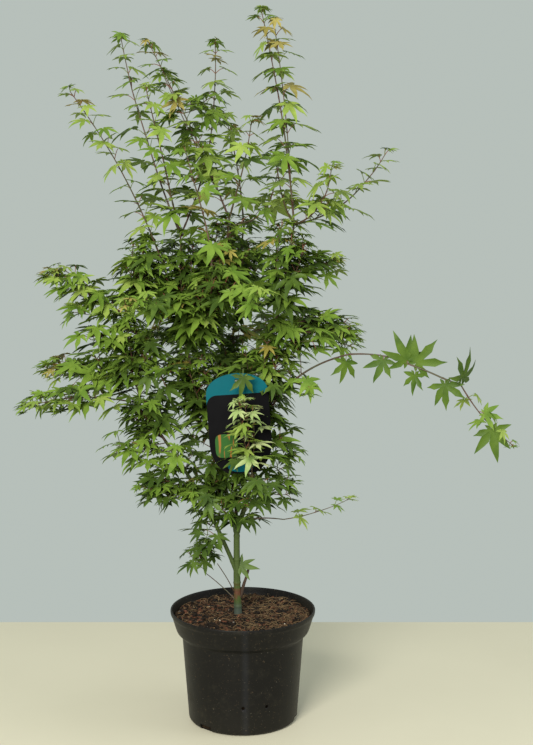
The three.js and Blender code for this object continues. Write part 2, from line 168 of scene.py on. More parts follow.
def add_piece(name, points, faces, look, smooth=True):
    """Puts an array of points and arrays of faces, one array for each number of corners, in a mesh."""
    groups = [np.asarray(group) for group in (faces if isinstance(faces, (list, tuple)) else [faces])]
    groups = [group for group in groups if len(group)]
    corners = np.concatenate([group.ravel() for group in groups]).astype(np.int32)
    counts = np.concatenate([np.full(len(group), group.shape[1]) for group in groups])
    mesh = bpy.data.meshes.new(name)
    mesh.vertices.add(len(points))
    mesh.vertices.foreach_set("co", np.asarray(points, np.float32).ravel())
    mesh.loops.add(len(corners))
    mesh.loops.foreach_set("vertex_index", corners)
    mesh.polygons.add(len(counts))
    mesh.polygons.foreach_set("loop_start", (np.cumsum(counts) - counts).astype(np.int32))
    mesh.polygons.foreach_set("use_smooth", np.full(len(counts), smooth))
    mesh.update(calc_edges=True)
    mesh.validate()
    mesh.materials.append(look.material)
    piece = bpy.data.objects.new(name, mesh)
    bpy.context.scene.collection.objects.link(piece)
    return piece


def grid_faces(rows, columns, wrap_rows=False, wrap_columns=True):
    """Four-cornered faces over a grid of points, joined round where it wraps."""
    r = np.arange(rows if wrap_rows else rows - 1)[:, None]
    c = np.arange(columns if wrap_columns else columns - 1)[None, :]
    r_next = (r + 1) % rows
    c_next = (c + 1) % columns
    corner = [r * columns + c, r * columns + c_next, r_next * columns + c_next, r_next * columns + c]
    return np.stack([np.broadcast_to(k, (len(r), c.shape[1])) for k in corner], -1).reshape(-1, 4)


def rounded_outline(corners, radius, steps=5):
    """An outline whose inner corners are eased: each is a quadratic arc between two nearby points."""
    corners = np.asarray(corners, float)
    before, here, after = corners[:-2], corners[1:-1], corners[2:]
    arrive = here - before
    leave = after - here
    reach_in = np.minimum(0.45, radius / np.linalg.norm(arrive, axis=1))[:, None]
    reach_out = np.minimum(0.45, radius / np.linalg.norm(leave, axis=1))[:, None]
    start = here - arrive * reach_in
    end = here + leave * reach_out
    s = np.linspace(0, 1, steps)[None, :, None]
    arcs = (1 - s) ** 2 * start[:, None] + 2 * s * (1 - s) * here[:, None] + s**2 * end[:, None]
    return np.concatenate([corners[:1], arcs.reshape(-1, 2), corners[-1:]])


def turned(outline, around):
    """A surface of revolution: every outline point (radius, height) carried round Z."""
    angle = np.arange(around) * 2 * np.pi / around
    ring = np.stack([np.cos(angle), np.sin(angle)], -1)
    flat = outline[:, None, 0, None] * ring[None]
    height = np.broadcast_to(outline[:, None, 1, None], (len(outline), around, 1))
    return np.concatenate([flat, height], -1)


pot_low, pot_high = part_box("pot")
pot_height = pot_high.z - pot_low.z
rim_radius = (pot_high.x - pot_low.x) / 2
collar_foot = 0.811 * pot_height
collar_radius = 0.915 * rim_radius
shoulder_radius = 0.836 * rim_radius
base_radius = 0.751 * rim_radius
POT_WALL, POT_FLOOR = 0.0024, 0.0032
BASE_ROUND, EDGE_ROUND = 0.004, 0.0022
LIP_DEEP, LIP_OUT = 0.0095, 0.0026
POT_AROUND, POT_STEP = 160, 0.006


def pot_outline():
    """
    The closed outline of the wall: out along the base, up the outside, over the lip and down the
    inside, with its corners eased and a point at least every step.
    """
    lip_foot = pot_height - LIP_DEEP
    outside = [
        (0.0, 0.0),
        (base_radius - BASE_ROUND, 0.0),
        (base_radius, BASE_ROUND),
        (shoulder_radius, collar_foot - 0.008),
        (collar_radius - 0.001, collar_foot - 0.001),
        (collar_radius + 0.001, collar_foot + 0.004),
        (rim_radius - LIP_OUT, lip_foot),
        (rim_radius - 0.0006, lip_foot + 0.003),
        (rim_radius - 0.0002, pot_height - 0.001),
        (rim_radius - 0.0014, pot_height - 0.0001),
    ]
    inside = [
        (rim_radius - 0.003, pot_height - 0.0008),
        (rim_radius - LIP_OUT - POT_WALL, lip_foot),
        (collar_radius - POT_WALL, collar_foot + POT_WALL),
        (shoulder_radius - POT_WALL, collar_foot - 0.006),
        (base_radius - POT_WALL, POT_FLOOR),
        (0.0, POT_FLOOR),
    ]
    eased = rounded_outline(outside + inside, EDGE_ROUND)
    lengths = np.r_[0, np.cumsum(np.linalg.norm(np.diff(eased, axis=0), axis=1))]
    spots = np.unique(np.concatenate([lengths, np.arange(0, lengths[-1], POT_STEP)]).round(6))
    return np.stack([np.interp(spots, lengths, eased[:, k]) for k in (0, 1)], -1)


def capped(rings, start, end):
    """Rings of points, (rings, around, 3), walled between and closed by a fan to a point at each end."""
    rows, around, _ = rings.shape
    points = np.concatenate([rings.reshape(-1, 3), [start, end]])
    last = (rows - 1) * around
    k = np.arange(around)
    k_next = (k + 1) % around
    first_fan = np.stack([np.full(around, len(points) - 2), k_next, k], -1)
    last_fan = np.stack([np.full(around, len(points) - 1), last + k, last + k_next], -1)
    return points, [grid_faces(rows, around), np.concatenate([first_fan, last_fan])]


BLOCK_CORNERS = np.array([(x, y, z) for x in (-1, 1) for y in (-1, 1) for z in (-1, 1)]) / 2
BLOCK_FACES = np.array([[0, 1, 3, 2], [4, 6, 7, 5], [0, 4, 5, 1], [2, 3, 7, 6], [0, 2, 6, 4], [1, 5, 7, 3]])


def swung_round(points, heading):
    """Points carried round Z by a heading: their product with the matrix of that turn."""
    c, s = math.cos(heading), math.sin(heading)
    return points @ np.array([[c, s, 0], [-s, c, 0], [0, 0, 1]])


def cut_out(piece, points, faces):
    """Cuts a closed cutter out of a piece with a boolean, and leaves the result as its mesh."""
    cutter = add_piece("cutter", points, faces, pot_look, smooth=False)
    boolean = piece.modifiers.new("cut", "BOOLEAN")
    boolean.object = cutter
    boolean.operation = "DIFFERENCE"
    boolean.solver = "EXACT"
    result = bpy.data.meshes.new_from_object(piece.evaluated_get(bpy.context.evaluated_depsgraph_get()))
    piece.modifiers.clear()
    piece.data = result
    bpy.data.objects.remove(cutter)


BLACK_PLASTIC, DUST_AND_SIDE_SHEEN = (0.0052, 0.0048, 0.0044), (0.050, 0.045, 0.030)
PAINTED_HIGHLIGHT, DRIED_SPLASH, PALE_GRIT = (0.030, 0.033, 0.042), (0.17, 0.12, 0.07), (0.42, 0.38, 0.30)
HIGHLIGHT_X, HIGHLIGHT_HALF = 0.005, 0.0080
SHEEN_FROM, SHEEN_FULL = 0.0045, 0.0115  # squares of how far out the painted side sheen starts and is full

pot_look = Look("black_nursery_plastic", 0.42, 0.17)
wear = pot_look.noise(14, 4)
dust = pot_look.ramp(pot_look.noise(55, 5, 0.7), 0.52, 0.74)
splash = pot_look.ramp(pot_look.noise(260, 4, 0.8), 0.63, 0.67)
grit = pot_look.ramp(pot_look.noise(430, 3, 0.6), 0.71, 0.74)
low_down = 1 - pot_look.ramp(pot_look.axis("Z"), 0.0, 0.07)
# painted sheen: the pot turns lighter towards its left and right sides; the same pale colour also serves for
# the real dust
side_sheen = pot_look.ramp(pot_look.axis("X") * pot_look.axis("X"), SHEEN_FROM, SHEEN_FULL)
dust_and_sheen = pot_look.mix(dust * 0.22 + low_down * 0.10 + side_sheen * 0.22, BLACK_PLASTIC, DUST_AND_SIDE_SHEEN)
# painted highlight: a pale bluish vertical line down the front of the pot only, in place of a reflection
from_highlight = pot_look.axis("X") - HIGHLIGHT_X
on_front = pot_look.axis("Y") < 0.0
highlight_line = (1 - pot_look.ramp((from_highlight * from_highlight) ** 0.5, 0.0, HIGHLIGHT_HALF)) * on_front
highlighted = pot_look.mix(highlight_line * (0.06 + wear * 0.24), dust_and_sheen, PAINTED_HIGHLIGHT)
splashed = pot_look.mix(splash * 0.45, highlighted, DRIED_SPLASH)
pot_look.feed("Base Color", pot_look.mix(grit * 0.5, splashed, PALE_GRIT))
pot_look.feed("Roughness", 0.38 + wear * 0.14 + dust * 0.16 + splash * 0.2)
pot_look.raise_by(pot_look.noise(26, 2) * 0.7 + pot_look.noise(300, 3) * 0.3, 0.0006, 0.5)

wall_rings = turned(pot_outline()[1:-1], POT_AROUND)
pot = add_piece("nursery_pot", *capped(wall_rings, (0, 0, 0), (0, 0, POT_FLOOR)), pot_look)

HOLE_HEADINGS, HOLE_HEIGHT = (-89, -65, 90), 0.046
HOLE_RADIUS, HOLE_SIDES, HOLE_REACH = 0.0026, 16, 0.008
hole_angle = np.arange(HOLE_SIDES) * np.pi / 8
ring = np.stack([0 * hole_angle, np.cos(hole_angle) * HOLE_RADIUS, np.sin(hole_angle) * HOLE_RADIUS], -1)
drill = [ring + (base_radius + 0.003 + offset, 0, HOLE_HEIGHT) for offset in (-HOLE_REACH, HOLE_REACH)]
ends = np.arange(2 * HOLE_SIDES).reshape(2, 1, -1)
drill_faces = [grid_faces(2, HOLE_SIDES), ends[0][:, ::-1], ends[1]]
for heading in np.radians(HOLE_HEADINGS):
    cut_out(pot, swung_round(np.concatenate(drill), heading), drill_faces)

DRAIN_NOTCHES, FIRST_NOTCH = 3, math.radians(108)
NOTCH_SIZE = (0.012, 0.022, 0.018)
notch_block = BLOCK_CORNERS * NOTCH_SIZE + (base_radius, 0, 0)
headings = FIRST_NOTCH + np.arange(DRAIN_NOTCHES) * 2 * np.pi / DRAIN_NOTCHES
notch_faces = np.concatenate([BLOCK_FACES + 8 * k for k in range(DRAIN_NOTCHES)])
cut_out(pot, np.concatenate([swung_round(notch_block, heading) for heading in headings]), notch_faces)
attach(pot, "root")
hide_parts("pot")

# ---------------------------------------------------------------- the compost
# Peat and composted bark with coir: an uneven brown surface about a centimetre below the rim,
# with loose bark chips, straw-coloured fibres and a few pale grains lying on it.

soil_low, soil_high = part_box("soil")
soil_level = soil_high.z + 0.0034  # the tops of its lumps, a little above the solid's flat top
soil_radius = rim_radius - 0.0069
SOIL_RINGS, SOIL_AROUND, SOIL_CLEAR = 110, 220, 0.0008
SOIL_DIP, LUMPS_RISE, CRUMBS_RISE, EDGE_SINK = 0.0022, 0.0052, 0.0026, 0.0012
soil_random = np.random.default_rng(11)


def rolling(x, y, waves, shortest, longest, seed):
    """A sum of sine waves in random directions, each lower the shorter it is, between -1 and 1."""
    draw = np.random.default_rng(seed)
    length = np.exp(draw.uniform(math.log(shortest), math.log(longest), waves))
    turn = draw.uniform(0, 2 * np.pi, waves)
    phase = draw.uniform(0, 2 * np.pi, waves)
    share = length / length.sum()
    along = x[..., None] * np.cos(turn) + y[..., None] * np.sin(turn)
    return (np.sin(2 * np.pi * along / length + phase) * share).sum(-1)


def soil_height(x, y):
    """The level less a dip that rolls with the lumps, and less still round the edge."""
    away = np.hypot(x, y) / soil_radius
    lumps = rolling(x, y, 24, 0.006, 0.05, 3)
    crumbs = rolling(x, y, 60, 0.0018, 0.006, 4)
    return soil_level - SOIL_DIP + LUMPS_RISE * lumps + CRUMBS_RISE * crumbs - EDGE_SINK * away**8


soil_rings = np.sqrt(np.linspace(0.0002, 1, SOIL_RINGS))[:, None] * soil_radius
soil_turn = (np.arange(SOIL_AROUND) * 2 * np.pi / SOIL_AROUND)[None, :]
soil_x = soil_rings * np.cos(soil_turn)
soil_y = soil_rings * np.sin(soil_turn)
top = np.stack([soil_x, soil_y, soil_height(soil_x, soil_y)], -1)
clear = POT_WALL + SOIL_CLEAR
skirt_outline = [
    (collar_radius - clear, collar_foot + 0.005),
    (shoulder_radius - clear, collar_foot - 0.008),
    (base_radius - clear, soil_low.z),
]
skirt = turned(np.array(skirt_outline), SOIL_AROUND)
soil_rows = np.concatenate([top, skirt])[::-1]
soil_mesh = capped(soil_rows, (0, 0, soil_low.z), (0, 0, soil_level - 0.002))

DARK_PEAT, SHADED_PEAT = (0.010, 0.006, 0.0035), (0.012, 0.007, 0.004)
BROWN_PEAT, PALE_CRUMB = (0.046, 0.026, 0.014), (0.12, 0.070, 0.034)
soil_look = Look("peat_compost", 0.95, 0.15)
coarse = soil_look.ramp(soil_look.noise(160, 5, 0.7), 0.38, 0.62)
fine = soil_look.ramp(soil_look.noise(620, 4, 0.75), 0.42, 0.66)
clumps = soil_look.ramp(soil_look.noise(42, 3, 0.6), 0.36, 0.62)
peat = soil_look.mix(coarse, DARK_PEAT, BROWN_PEAT)
shaded = soil_look.mix(clumps, SHADED_PEAT, peat)
soil_look.feed("Base Color", soil_look.mix(fine * clumps * 0.5, shaded, PALE_CRUMB))
soil_look.raise_by(soil_look.noise(480, 5, 0.8), 0.0012)
soil = add_piece("compost", *soil_mesh, soil_look)
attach(soil, "root")
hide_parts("soil")


def turns_to(first, second):
    """Square frames whose first axis is the first direction and whose third leans to the second."""
    x = first / np.linalg.norm(first, axis=-1, keepdims=True)
    y = np.cross(second, x)
    y /= np.linalg.norm(y, axis=-1, keepdims=True)
    return np.stack([x, y, np.cross(x, y)], -1)


def scatter_spots(count, draw):
    """Even random spots on the compost, clear of its very edge."""
    away = np.sqrt(draw.uniform(0, 1, count)) * soil_radius * 0.965
    turn = draw.uniform(0, 2 * np.pi, count)
    x, y = away * np.cos(turn), away * np.sin(turn)
    return np.stack([x, y, soil_height(x, y)], -1)


def chip_points(count, longest, draw):
    """Bark chips: blocks with every corner shifted at random, lying nearly flat where they fell."""
    length = draw.uniform(0.25, 1, (count, 1)) ** 1.6 * longest
    size = np.concatenate([length, length * draw.uniform(0.3, 0.8, (count, 1)), length * 0.28], 1)
    jitter = draw.uniform(-0.16, 0.16, (count, 8, 3))
    blocks = (BLOCK_CORNERS + jitter) * size[:, None]
    turn = draw.uniform(0, 2 * np.pi, count)
    tip = draw.normal(0, 0.28, (count, 2))
    along = np.stack([np.cos(turn), np.sin(turn), tip[:, 0]], -1)
    up = np.stack([tip[:, 1], tip[:, 0], np.ones(count)], -1)
    place = scatter_spots(count, draw)
    place[:, 2] += length[:, 0] * 0.1
    return (np.einsum("nij,nkj->nki", turns_to(along, up), blocks) + place[:, None]).reshape(-1, 3)


# how many of each, the longest, and its colour
CHIPS = {
    "chips_dark": (1700, 0.0085, (0.010, 0.0062, 0.004)),
    "chips_brown": (1300, 0.008, (0.058, 0.029, 0.014)),
    "chips_red": (320, 0.0075, (0.11, 0.042, 0.022)),
    "chips_tan": (260, 0.006, (0.17, 0.105, 0.05)),
    "grains_pale": (90, 0.0032, (0.50, 0.46, 0.38)),
}
for chip_name, (count, longest, colour) in CHIPS.items():
    look = Look(chip_name, 0.85, 0.2)
    shade = look.noise(300, 3, 0.6)
    look.feed("Base Color", look.mix(shade, [0.55 * c for c in colour], [min(1, 1.5 * c) for c in colour]))
    look.raise_by(look.noise(900, 3), 0.0004)
    chip_faces = (BLOCK_FACES + 8 * np.arange(count)[:, None, None]).reshape(-1, 4)
    chips = add_piece(chip_name, chip_points(count, longest, soil_random), chip_faces, look, smooth=False)
    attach(chips, "root")


def tubes(paths, radii, sides, bark=None):
    """
    Many round tubes at once: a ring of points square to each path at each of its points, with a
    point on each end. paths is (tubes, points, 3) and radii (tubes, points). bark, if given, is a
    function of angle and length along the tube that gives how much each ring swells.
    """
    count, steps, _ = paths.shape
    along = np.gradient(paths, axis=1)
    along /= np.linalg.norm(along, axis=-1, keepdims=True)
    chord = paths[:, -1] - paths[:, 0]
    aside = np.eye(3)[np.abs(chord).argmin(1)][:, None]
    across = np.cross(along, aside)
    across /= np.linalg.norm(across, axis=-1, keepdims=True)
    beside = np.cross(along, across)
    angle = np.arange(sides) * 2 * np.pi / sides
    spoke = across[:, :, None] * np.cos(angle)[:, None] + beside[:, :, None] * np.sin(angle)[:, None]
    reach = radii[:, :, None] * np.ones(sides)
    if bark is not None:
        run = np.linalg.norm(np.diff(paths, axis=1), axis=-1)
        run = np.concatenate([np.zeros((count, 1)), np.cumsum(run, 1)], 1)
        reach = reach * bark(angle[None, None], run[:, :, None])
    rings = (paths[:, :, None] + spoke * reach[..., None]).reshape(count, -1, 3)
    points = np.concatenate([rings, paths[:, :1], paths[:, -1:]], 1)
    k = np.arange(sides)
    k_next = (k + 1) % sides
    last = (steps - 1) * sides
    root_fan = np.stack([np.full(sides, steps * sides), k_next, k], -1)
    tip_fan = np.stack([np.full(sides, steps * sides + 1), last + k, last + k_next], -1)
    shift = (np.arange(count) * points.shape[1])[:, None, None]
    walls = (grid_faces(steps, sides) + shift).reshape(-1, 4)
    fans = (np.concatenate([root_fan, tip_fan]) + shift).reshape(-1, 3)
    return points.reshape(-1, 3), [walls, fans]


def fibre_paths(count, draw):
    """
    Coir fibres: arcs that curl over the compost, with one end or the middle lifted off it. Some
    of those on the left are moved across to the right, where more of them show.
    """
    start = scatter_spots(count, draw)
    start[:, 0] = np.where(draw.random(count) < 0.45, np.abs(start[:, 0]), start[:, 0])
    turn = draw.uniform(0, 2 * np.pi, count)[:, None]
    bend = draw.normal(0, 1.1, count)[:, None]
    length = draw.uniform(0.008, 0.026, count)[:, None]
    lift = draw.uniform(0.0, 0.28, count)[:, None]
    s = np.linspace(0, 1, 7)[None]
    x = start[:, :1] + np.cumsum(np.cos(turn + bend * s), 1) * length / 7
    y = start[:, 1:2] + np.cumsum(np.sin(turn + bend * s), 1) * length / 7
    inside = np.minimum(1, 0.97 * soil_radius / np.hypot(x, y).max(1, keepdims=True))
    x, y = x * inside, y * inside
    z = soil_height(x, y) + 0.0007 + lift * length * np.sin(np.pi * s * draw.uniform(0.5, 1, (count, 1)))
    return np.stack([x, y, z], -1)


FIBRES, FIBRE_RADIUS = 480, 0.00025
FIBRE_BROWN, FIBRE_STRAW = (0.060, 0.032, 0.013), (0.30, 0.20, 0.09)
fibre_look = Look("coir_fibre", 0.8)
fibre_look.feed("Base Color", fibre_look.mix(fibre_look.noise(120, 3), FIBRE_BROWN, FIBRE_STRAW))
strands = fibre_paths(FIBRES, soil_random)
strand_tubes = tubes(strands, np.full(strands.shape[:2], FIBRE_RADIUS), 4)
fibres = add_piece("coir_fibres", *strand_tubes, fibre_look)
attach(fibres, "root")

# ---------------------------------------------------------------- trunk and boughs
# Smooth young bark, green with fine pale streaks, browner on the boughs and grey-blue and rusty
# where it meets the compost. Rings and small swellings mark where each year's buds were.

LIMBS = {
    "trunk": None,
    "left_bough": "trunk",
    "left_fork": "trunk",
    "right_fork": "trunk",
    "back_bough": "trunk",
    "front_bough": "right_fork",
    "right_low_twig": "right_fork",
    "right_arm": "right_fork",
    "right_arm_fall": "right_arm",
    "sucker_long": "trunk",
    "sucker_short": "trunk",
    "dead_snag": "trunk",
}


def sampled(node):
    """Spots spread over a node's surface by area, and the area that each stands for."""
    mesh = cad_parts[node].data
    mesh.calc_loop_triangles()
    place = np.empty(len(mesh.vertices) * 3)
    mesh.vertices.foreach_get("co", place)
    corner = np.empty(len(mesh.loop_triangles) * 3, np.int32)
    mesh.loop_triangles.foreach_get("vertices", corner)
    triangle = place.reshape(-1, 3)[corner.reshape(-1, 3)]
    area = np.linalg.norm(np.cross(triangle[:, 1] - triangle[:, 0], triangle[:, 2] - triangle[:, 0]), axis=1)
    share = np.array([(a, b, 6 - a - b) for a in range(7) for b in range(7 - a)]) / 6
    spots = np.einsum("kc,tcd->tkd", share, triangle).reshape(-1, 3)
    return spots, np.repeat(area, len(share))


def slice_middles(spots, weight, t, bins):
    """The middle of each of a surface's slices between equal steps of t, and the t of each."""
    slice_of = np.clip((t * bins).astype(int), 0, bins - 1)
    total = np.maximum(np.bincount(slice_of, weight, bins), 1e-12)
    middles = np.stack([np.bincount(slice_of, weight * spots[:, k], bins) / total for k in range(3)], -1)
    filled = total > 1e-9
    return middles[filled], (np.bincount(slice_of, weight * t, bins) / total)[filled]


def half_width(curve, spots, weight):
    """How far a surface lies from a curve inside it, on average, at each point of the curve."""
    coarse = curve[::3]
    along = np.gradient(coarse, axis=0)
    along /= np.linalg.norm(along, axis=1, keepdims=True)
    gap = spots[:, None] - coarse[None]
    nearest = (gap**2).sum(2).argmin(1)
    gap = gap[np.arange(len(spots)), nearest]
    gap = gap - (gap * along[nearest]).sum(1, keepdims=True) * along[nearest]
    total = np.bincount(nearest, weight, len(coarse))
    filled = np.flatnonzero(total)
    mean = np.bincount(nearest, weight * np.linalg.norm(gap, axis=1), len(coarse))[filled] / total[filled]
    return np.interp(np.arange(len(curve)), filled * 3, mean)


LINE_POINTS = 60  # of every middle line


def limb_line(node, near, degree=3, bins=12):
    """
    The middle of a limb and its radius along it, from the end nearest to a point: a smooth curve
    through the middles of its slices along its longest direction.
    """
    spots, weight = sampled(node)
    middle = np.average(spots, axis=0, weights=weight)
    spread = (spots - middle) * np.sqrt(weight)[:, None]
    long_way = np.linalg.svd(spread, full_matrices=False)[2][0]
    t = (spots - middle) @ long_way
    if abs((near - middle) @ long_way - t.max()) < abs((near - middle) @ long_way - t.min()):
        t = -t
    t = (t - t.min()) / (t.max() - t.min())
    middles, at = slice_middles(spots, weight, t, bins)
    fit = np.polyfit(at, middles, degree)
    s = np.linspace(0, 1, LINE_POINTS)
    curve = sum(fit[degree - k] * s[:, None] ** k for k in range(degree + 1))
    return curve, half_width(curve, spots, weight)


def joined_to(parent, curve, pull=0.35):
    """
    Starts a curve on its parent: the offset from its first point to the nearest point of the
    parent, a little lower down it, fades out over the first share of the curve.
    """
    nearest = np.linalg.norm(parent - curve[0], axis=1).argmin()
    root = parent[max(0, nearest - 2)]
    s = np.linspace(0, 1, len(curve))[:, None]
    return curve + (root - curve[0]) * np.clip(1 - s / pull, 0, 1) ** 2


def resampled(curve, steps):
    """The same curve with evenly spaced points."""
    run = np.r_[0, np.cumsum(np.linalg.norm(np.diff(curve, axis=0), axis=1))]
    spots = np.linspace(0, run[-1], steps)
    return np.stack([np.interp(spots, run, curve[:, k]) for k in range(3)], -1)


def length_of(curve):
    """The length of a curve through its points."""
    return np.linalg.norm(np.diff(curve, axis=0), axis=1).sum()


UP = np.array([0.0, 0.0, 1.0])


def young_bark(angle, run):
    """A little over and under 1: shallow streaks along the limb, and a ring at each old bud."""
    streaks = 0.022 * np.sin(5 * angle + 31 * run) + 0.014 * np.sin(11 * angle - 90 * run + 1)
    lumps = 0.02 * np.sin(170 * run + 2 * angle) * np.sin(61 * run)
    from_bud = np.abs((run / 0.037) % 1 - 0.5) * 0.037
    return 1 + streaks + lumps + 0.13 * np.exp(-((from_bud / 0.0016) ** 2))


wood = {}  # the middle line of every piece of wood that something else may grow on
# the thin limbs, and how much thinner their real stems are than their solids
SLENDER = {
    "right_low_twig": 0.7,
    "right_arm": 0.72,
    "right_arm_fall": 0.72,
    "sucker_long": 0.7,
    "sucker_short": 0.7,
}
RING_EVERY, FEWEST_RINGS = 0.0016, 24
TRUNK_SIDES, LIMB_SIDES = 24, 16
FOOT_FLARE, CROTCH_SWELL, FLARE_RUN = 0.0010, 0.35, 0.010
TRUNK_SUNK = 0.004
limb_tubes = {"stout": [], "slender": []}
for limb, parent in LIMBS.items():
    near = np.array([0.0, 0.0, soil_level]) if parent is None else wood[parent][-1 if "fall" in limb else 12]
    curve, half = limb_line(limb, near)
    fade = np.linspace(1, 0, len(curve))[:, None]
    if parent is None:
        curve = curve - UP * TRUNK_SUNK * fade**4
    elif limb == "right_arm_fall":
        curve = curve + (wood[parent][-1] - curve[0]) * fade**2
    else:
        curve = joined_to(wood[parent], curve, 0.2)
    wood[limb] = curve
    if limb == "dead_snag":
        continue
    length = length_of(curve)
    steps = max(FEWEST_RINGS, int(length / RING_EVERY))
    path = resampled(curve, steps)
    s = np.linspace(0, 1, steps)
    middle_part = slice(6, -6)
    taper = np.polyfit(np.linspace(0, 1, LINE_POINTS)[middle_part], half[middle_part], 1)
    girth = np.polyval(taper, s)
    near_root = np.exp(-s * length / FLARE_RUN)
    if parent is None:
        girth = girth + FOOT_FLARE * near_root
    else:
        girth = girth * (1 + CROTCH_SWELL * near_root) * SLENDER.get(limb, 1)
    kind = "slender" if limb in SLENDER else "stout"
    sides = TRUNK_SIDES if parent is None else LIMB_SIDES
    limb_tubes[kind].append(tubes(path[None], girth[None], sides, young_bark))


def joined(parts):
    """One array of points and one of each kind of face, from many pieces' points and faces."""
    shift = np.cumsum([0] + [len(points) for points, _ in parts[:-1]])
    walls = np.concatenate([faces[0] + k for (_, faces), k in zip(parts, shift)])
    fans = np.concatenate([faces[1] + k for (_, faces), k in zip(parts, shift)])
    return np.concatenate([points for points, _ in parts]), [walls, fans]


BARK_DEEP, BARK_STREAK, BARK_BROWN = (0.026, 0.046, 0.008), (0.075, 0.112, 0.026), (0.105, 0.062, 0.024)
BARK_RUST, BARK_FOOT = (0.10, 0.040, 0.020), (0.050, 0.062, 0.056)

bark_look = Look("young_green_bark", 0.55, 0.3)
height = bark_look.axis("Z")
streaks = bark_look.noise(260, 4, 0.6, at=bark_look.stretched((1, 1, 0.12)))
patches = bark_look.ramp(bark_look.noise(48, 3), 0.4, 0.66)
green = bark_look.mix(streaks, BARK_DEEP, BARK_STREAK)
browned = bark_look.mix(patches * bark_look.ramp(height, 0.30, 0.42), green, BARK_BROWN)
rust_starts = bark_look.ramp(height, soil_level + 0.012, soil_level + 0.03)
rust_ends = 1 - bark_look.ramp(height, soil_level + 0.034, soil_level + 0.055)
rust = rust_starts * rust_ends * bark_look.ramp(bark_look.noise(90, 3), 0.4, 0.6)
foot_share = 1 - bark_look.ramp(height, soil_level + 0.004, soil_level + 0.024)
rusted = bark_look.mix(rust, browned, BARK_RUST)
bark_look.feed("Base Color", bark_look.mix(foot_share * 0.85, rusted, BARK_FOOT))
bark_look.feed("Roughness", 0.42 + streaks * 0.25)
bark_look.raise_by(streaks * 0.6 + bark_look.noise(900, 3) * 0.4, 0.0005, 0.8)
boughs = add_piece("trunk_and_boughs", *joined(limb_tubes["stout"]), bark_look)
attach(boughs, "root")
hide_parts(*[limb for limb in LIMBS if limb not in SLENDER and limb != "dead_snag"])

# ---------------------------------------------------------------- the thin limbs
# The long arm, the low twig and the suckers are last year's growth: their thinner bark is brown
# and red rather than green, with a darker grain.

THIN_OLIVE, THIN_RED, THIN_GRAIN = (0.060, 0.058, 0.020), (0.085, 0.036, 0.024), (0.030, 0.018, 0.012)

slender_look = Look("slender_bark", 0.5)
grain = slender_look.noise(240, 4, 0.6)
stain = slender_look.ramp(slender_look.noise(40, 3), 0.35, 0.65)
browns = slender_look.mix(stain, THIN_OLIVE, THIN_RED)
slender_look.feed("Base Color", slender_look.mix(grain * 0.6, browns, THIN_GRAIN))
slender_look.raise_by(grain, 0.0004, 0.8)
slender_limbs = add_piece("slender_limbs", *joined(limb_tubes["slender"]), slender_look)
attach(slender_limbs, "root")
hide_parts(*SLENDER)

# ---------------------------------------------------------------- the dead stub
# Last year's pruned stem beside the trunk: dry, dark and cracked lengthwise, and cut off square
# at its top.

SNAG_RINGS, SNAG_SIDES = 40, 14
SNAG_ROOT, SNAG_TOP = 0.0027, 0.0019
SNAG_DARK, SNAG_DRY = (0.014, 0.009, 0.007), (0.085, 0.048, 0.03)


def cracked(angle, run):
    """A little over and under 1: two sets of ridges that wind slowly up the stub."""
    return 1 + 0.09 * np.sin(4 * angle + 120 * run) + 0.07 * np.sin(9 * angle - 240 * run)


snag_path = resampled(wood["dead_snag"], SNAG_RINGS)
snag_taper = np.linspace(SNAG_ROOT, SNAG_TOP, SNAG_RINGS)
snag_tube = tubes(snag_path[None], snag_taper[None], SNAG_SIDES, cracked)
snag_look = Look("dead_wood", 0.9)
grain = snag_look.noise(300, 4, 0.7, at=snag_look.stretched((1, 1, 0.15)))
snag_look.feed("Base Color", snag_look.mix(grain, SNAG_DARK, SNAG_DRY))
snag_look.raise_by(grain, 0.0006)
snag = add_piece("dead_stub", *snag_tube, snag_look)
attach(snag, "root")
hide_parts("dead_snag")

# ---------------------------------------------------------------- shoots and twigs
# Each mass of leaves grows from one leading shoot that goes on from a limb. Maples bear buds in
# opposite pairs, each pair square to the last, and a bud gives either a leaf or a side twig.

# a habit's distance between pairs of buds, leaf length, droop in degrees, radius at root and tip,
# how many more stems rise beside the leading one, and how far they end before the mass does, in
# leaves; a bare stem bears no leaves of its own
HABIT_RULES = ("pairs", "leaf", "droop", "root", "tip", "stems", "spare")
HABIT_TABLE = {
    "bush": (0.018, 0.034, 14, 0.0021, 0.0007, 6, 0.45),
    "thick": (0.019, 0.034, 16, 0.0015, 0.0006, 4, 0.2),
    "loose": (0.021, 0.034, 18, 0.0013, 0.0005, 2, 0.4),
    "spray": (0.018, 0.033, 18, 0.0012, 0.0005, 1, 0.3),
    "shoot": (0.027, 0.035, 16, 0.0014, 0.0006, 0, 0.0),
    "full": (0.027, 0.035, 16, 0.0015, 0.0006, 1, 0.0),
    "arm": (0.034, 0.021, 40, 0.0011, 0.0005, 0, 0.45),
    "thin": (0.030, 0.021, 10, 0.0008, 0.0004, 0, 0.45),
    "fine": (0.019, 0.023, 36, 0.0008, 0.0004, 3, 0.45),
    "open": (0.022, 0.026, 8, 0.0008, 0.0004, 2, 0.1),
    "bare": (0.0, 0.020, 0, 0.0011, 0.0007, 0, 0.45),
}
HABITS = {habit: dict(zip(HABIT_RULES, values)) for habit, values in HABIT_TABLE.items()}
SHOOT_HABITS = ("shoot", "full")
YOUNG_ENDED = (*SHOOT_HABITS, "spray", "loose")
SAGS = {"arm_middle_leaves": 0.022}  # how far the weight of its leaves bends a stem's end down

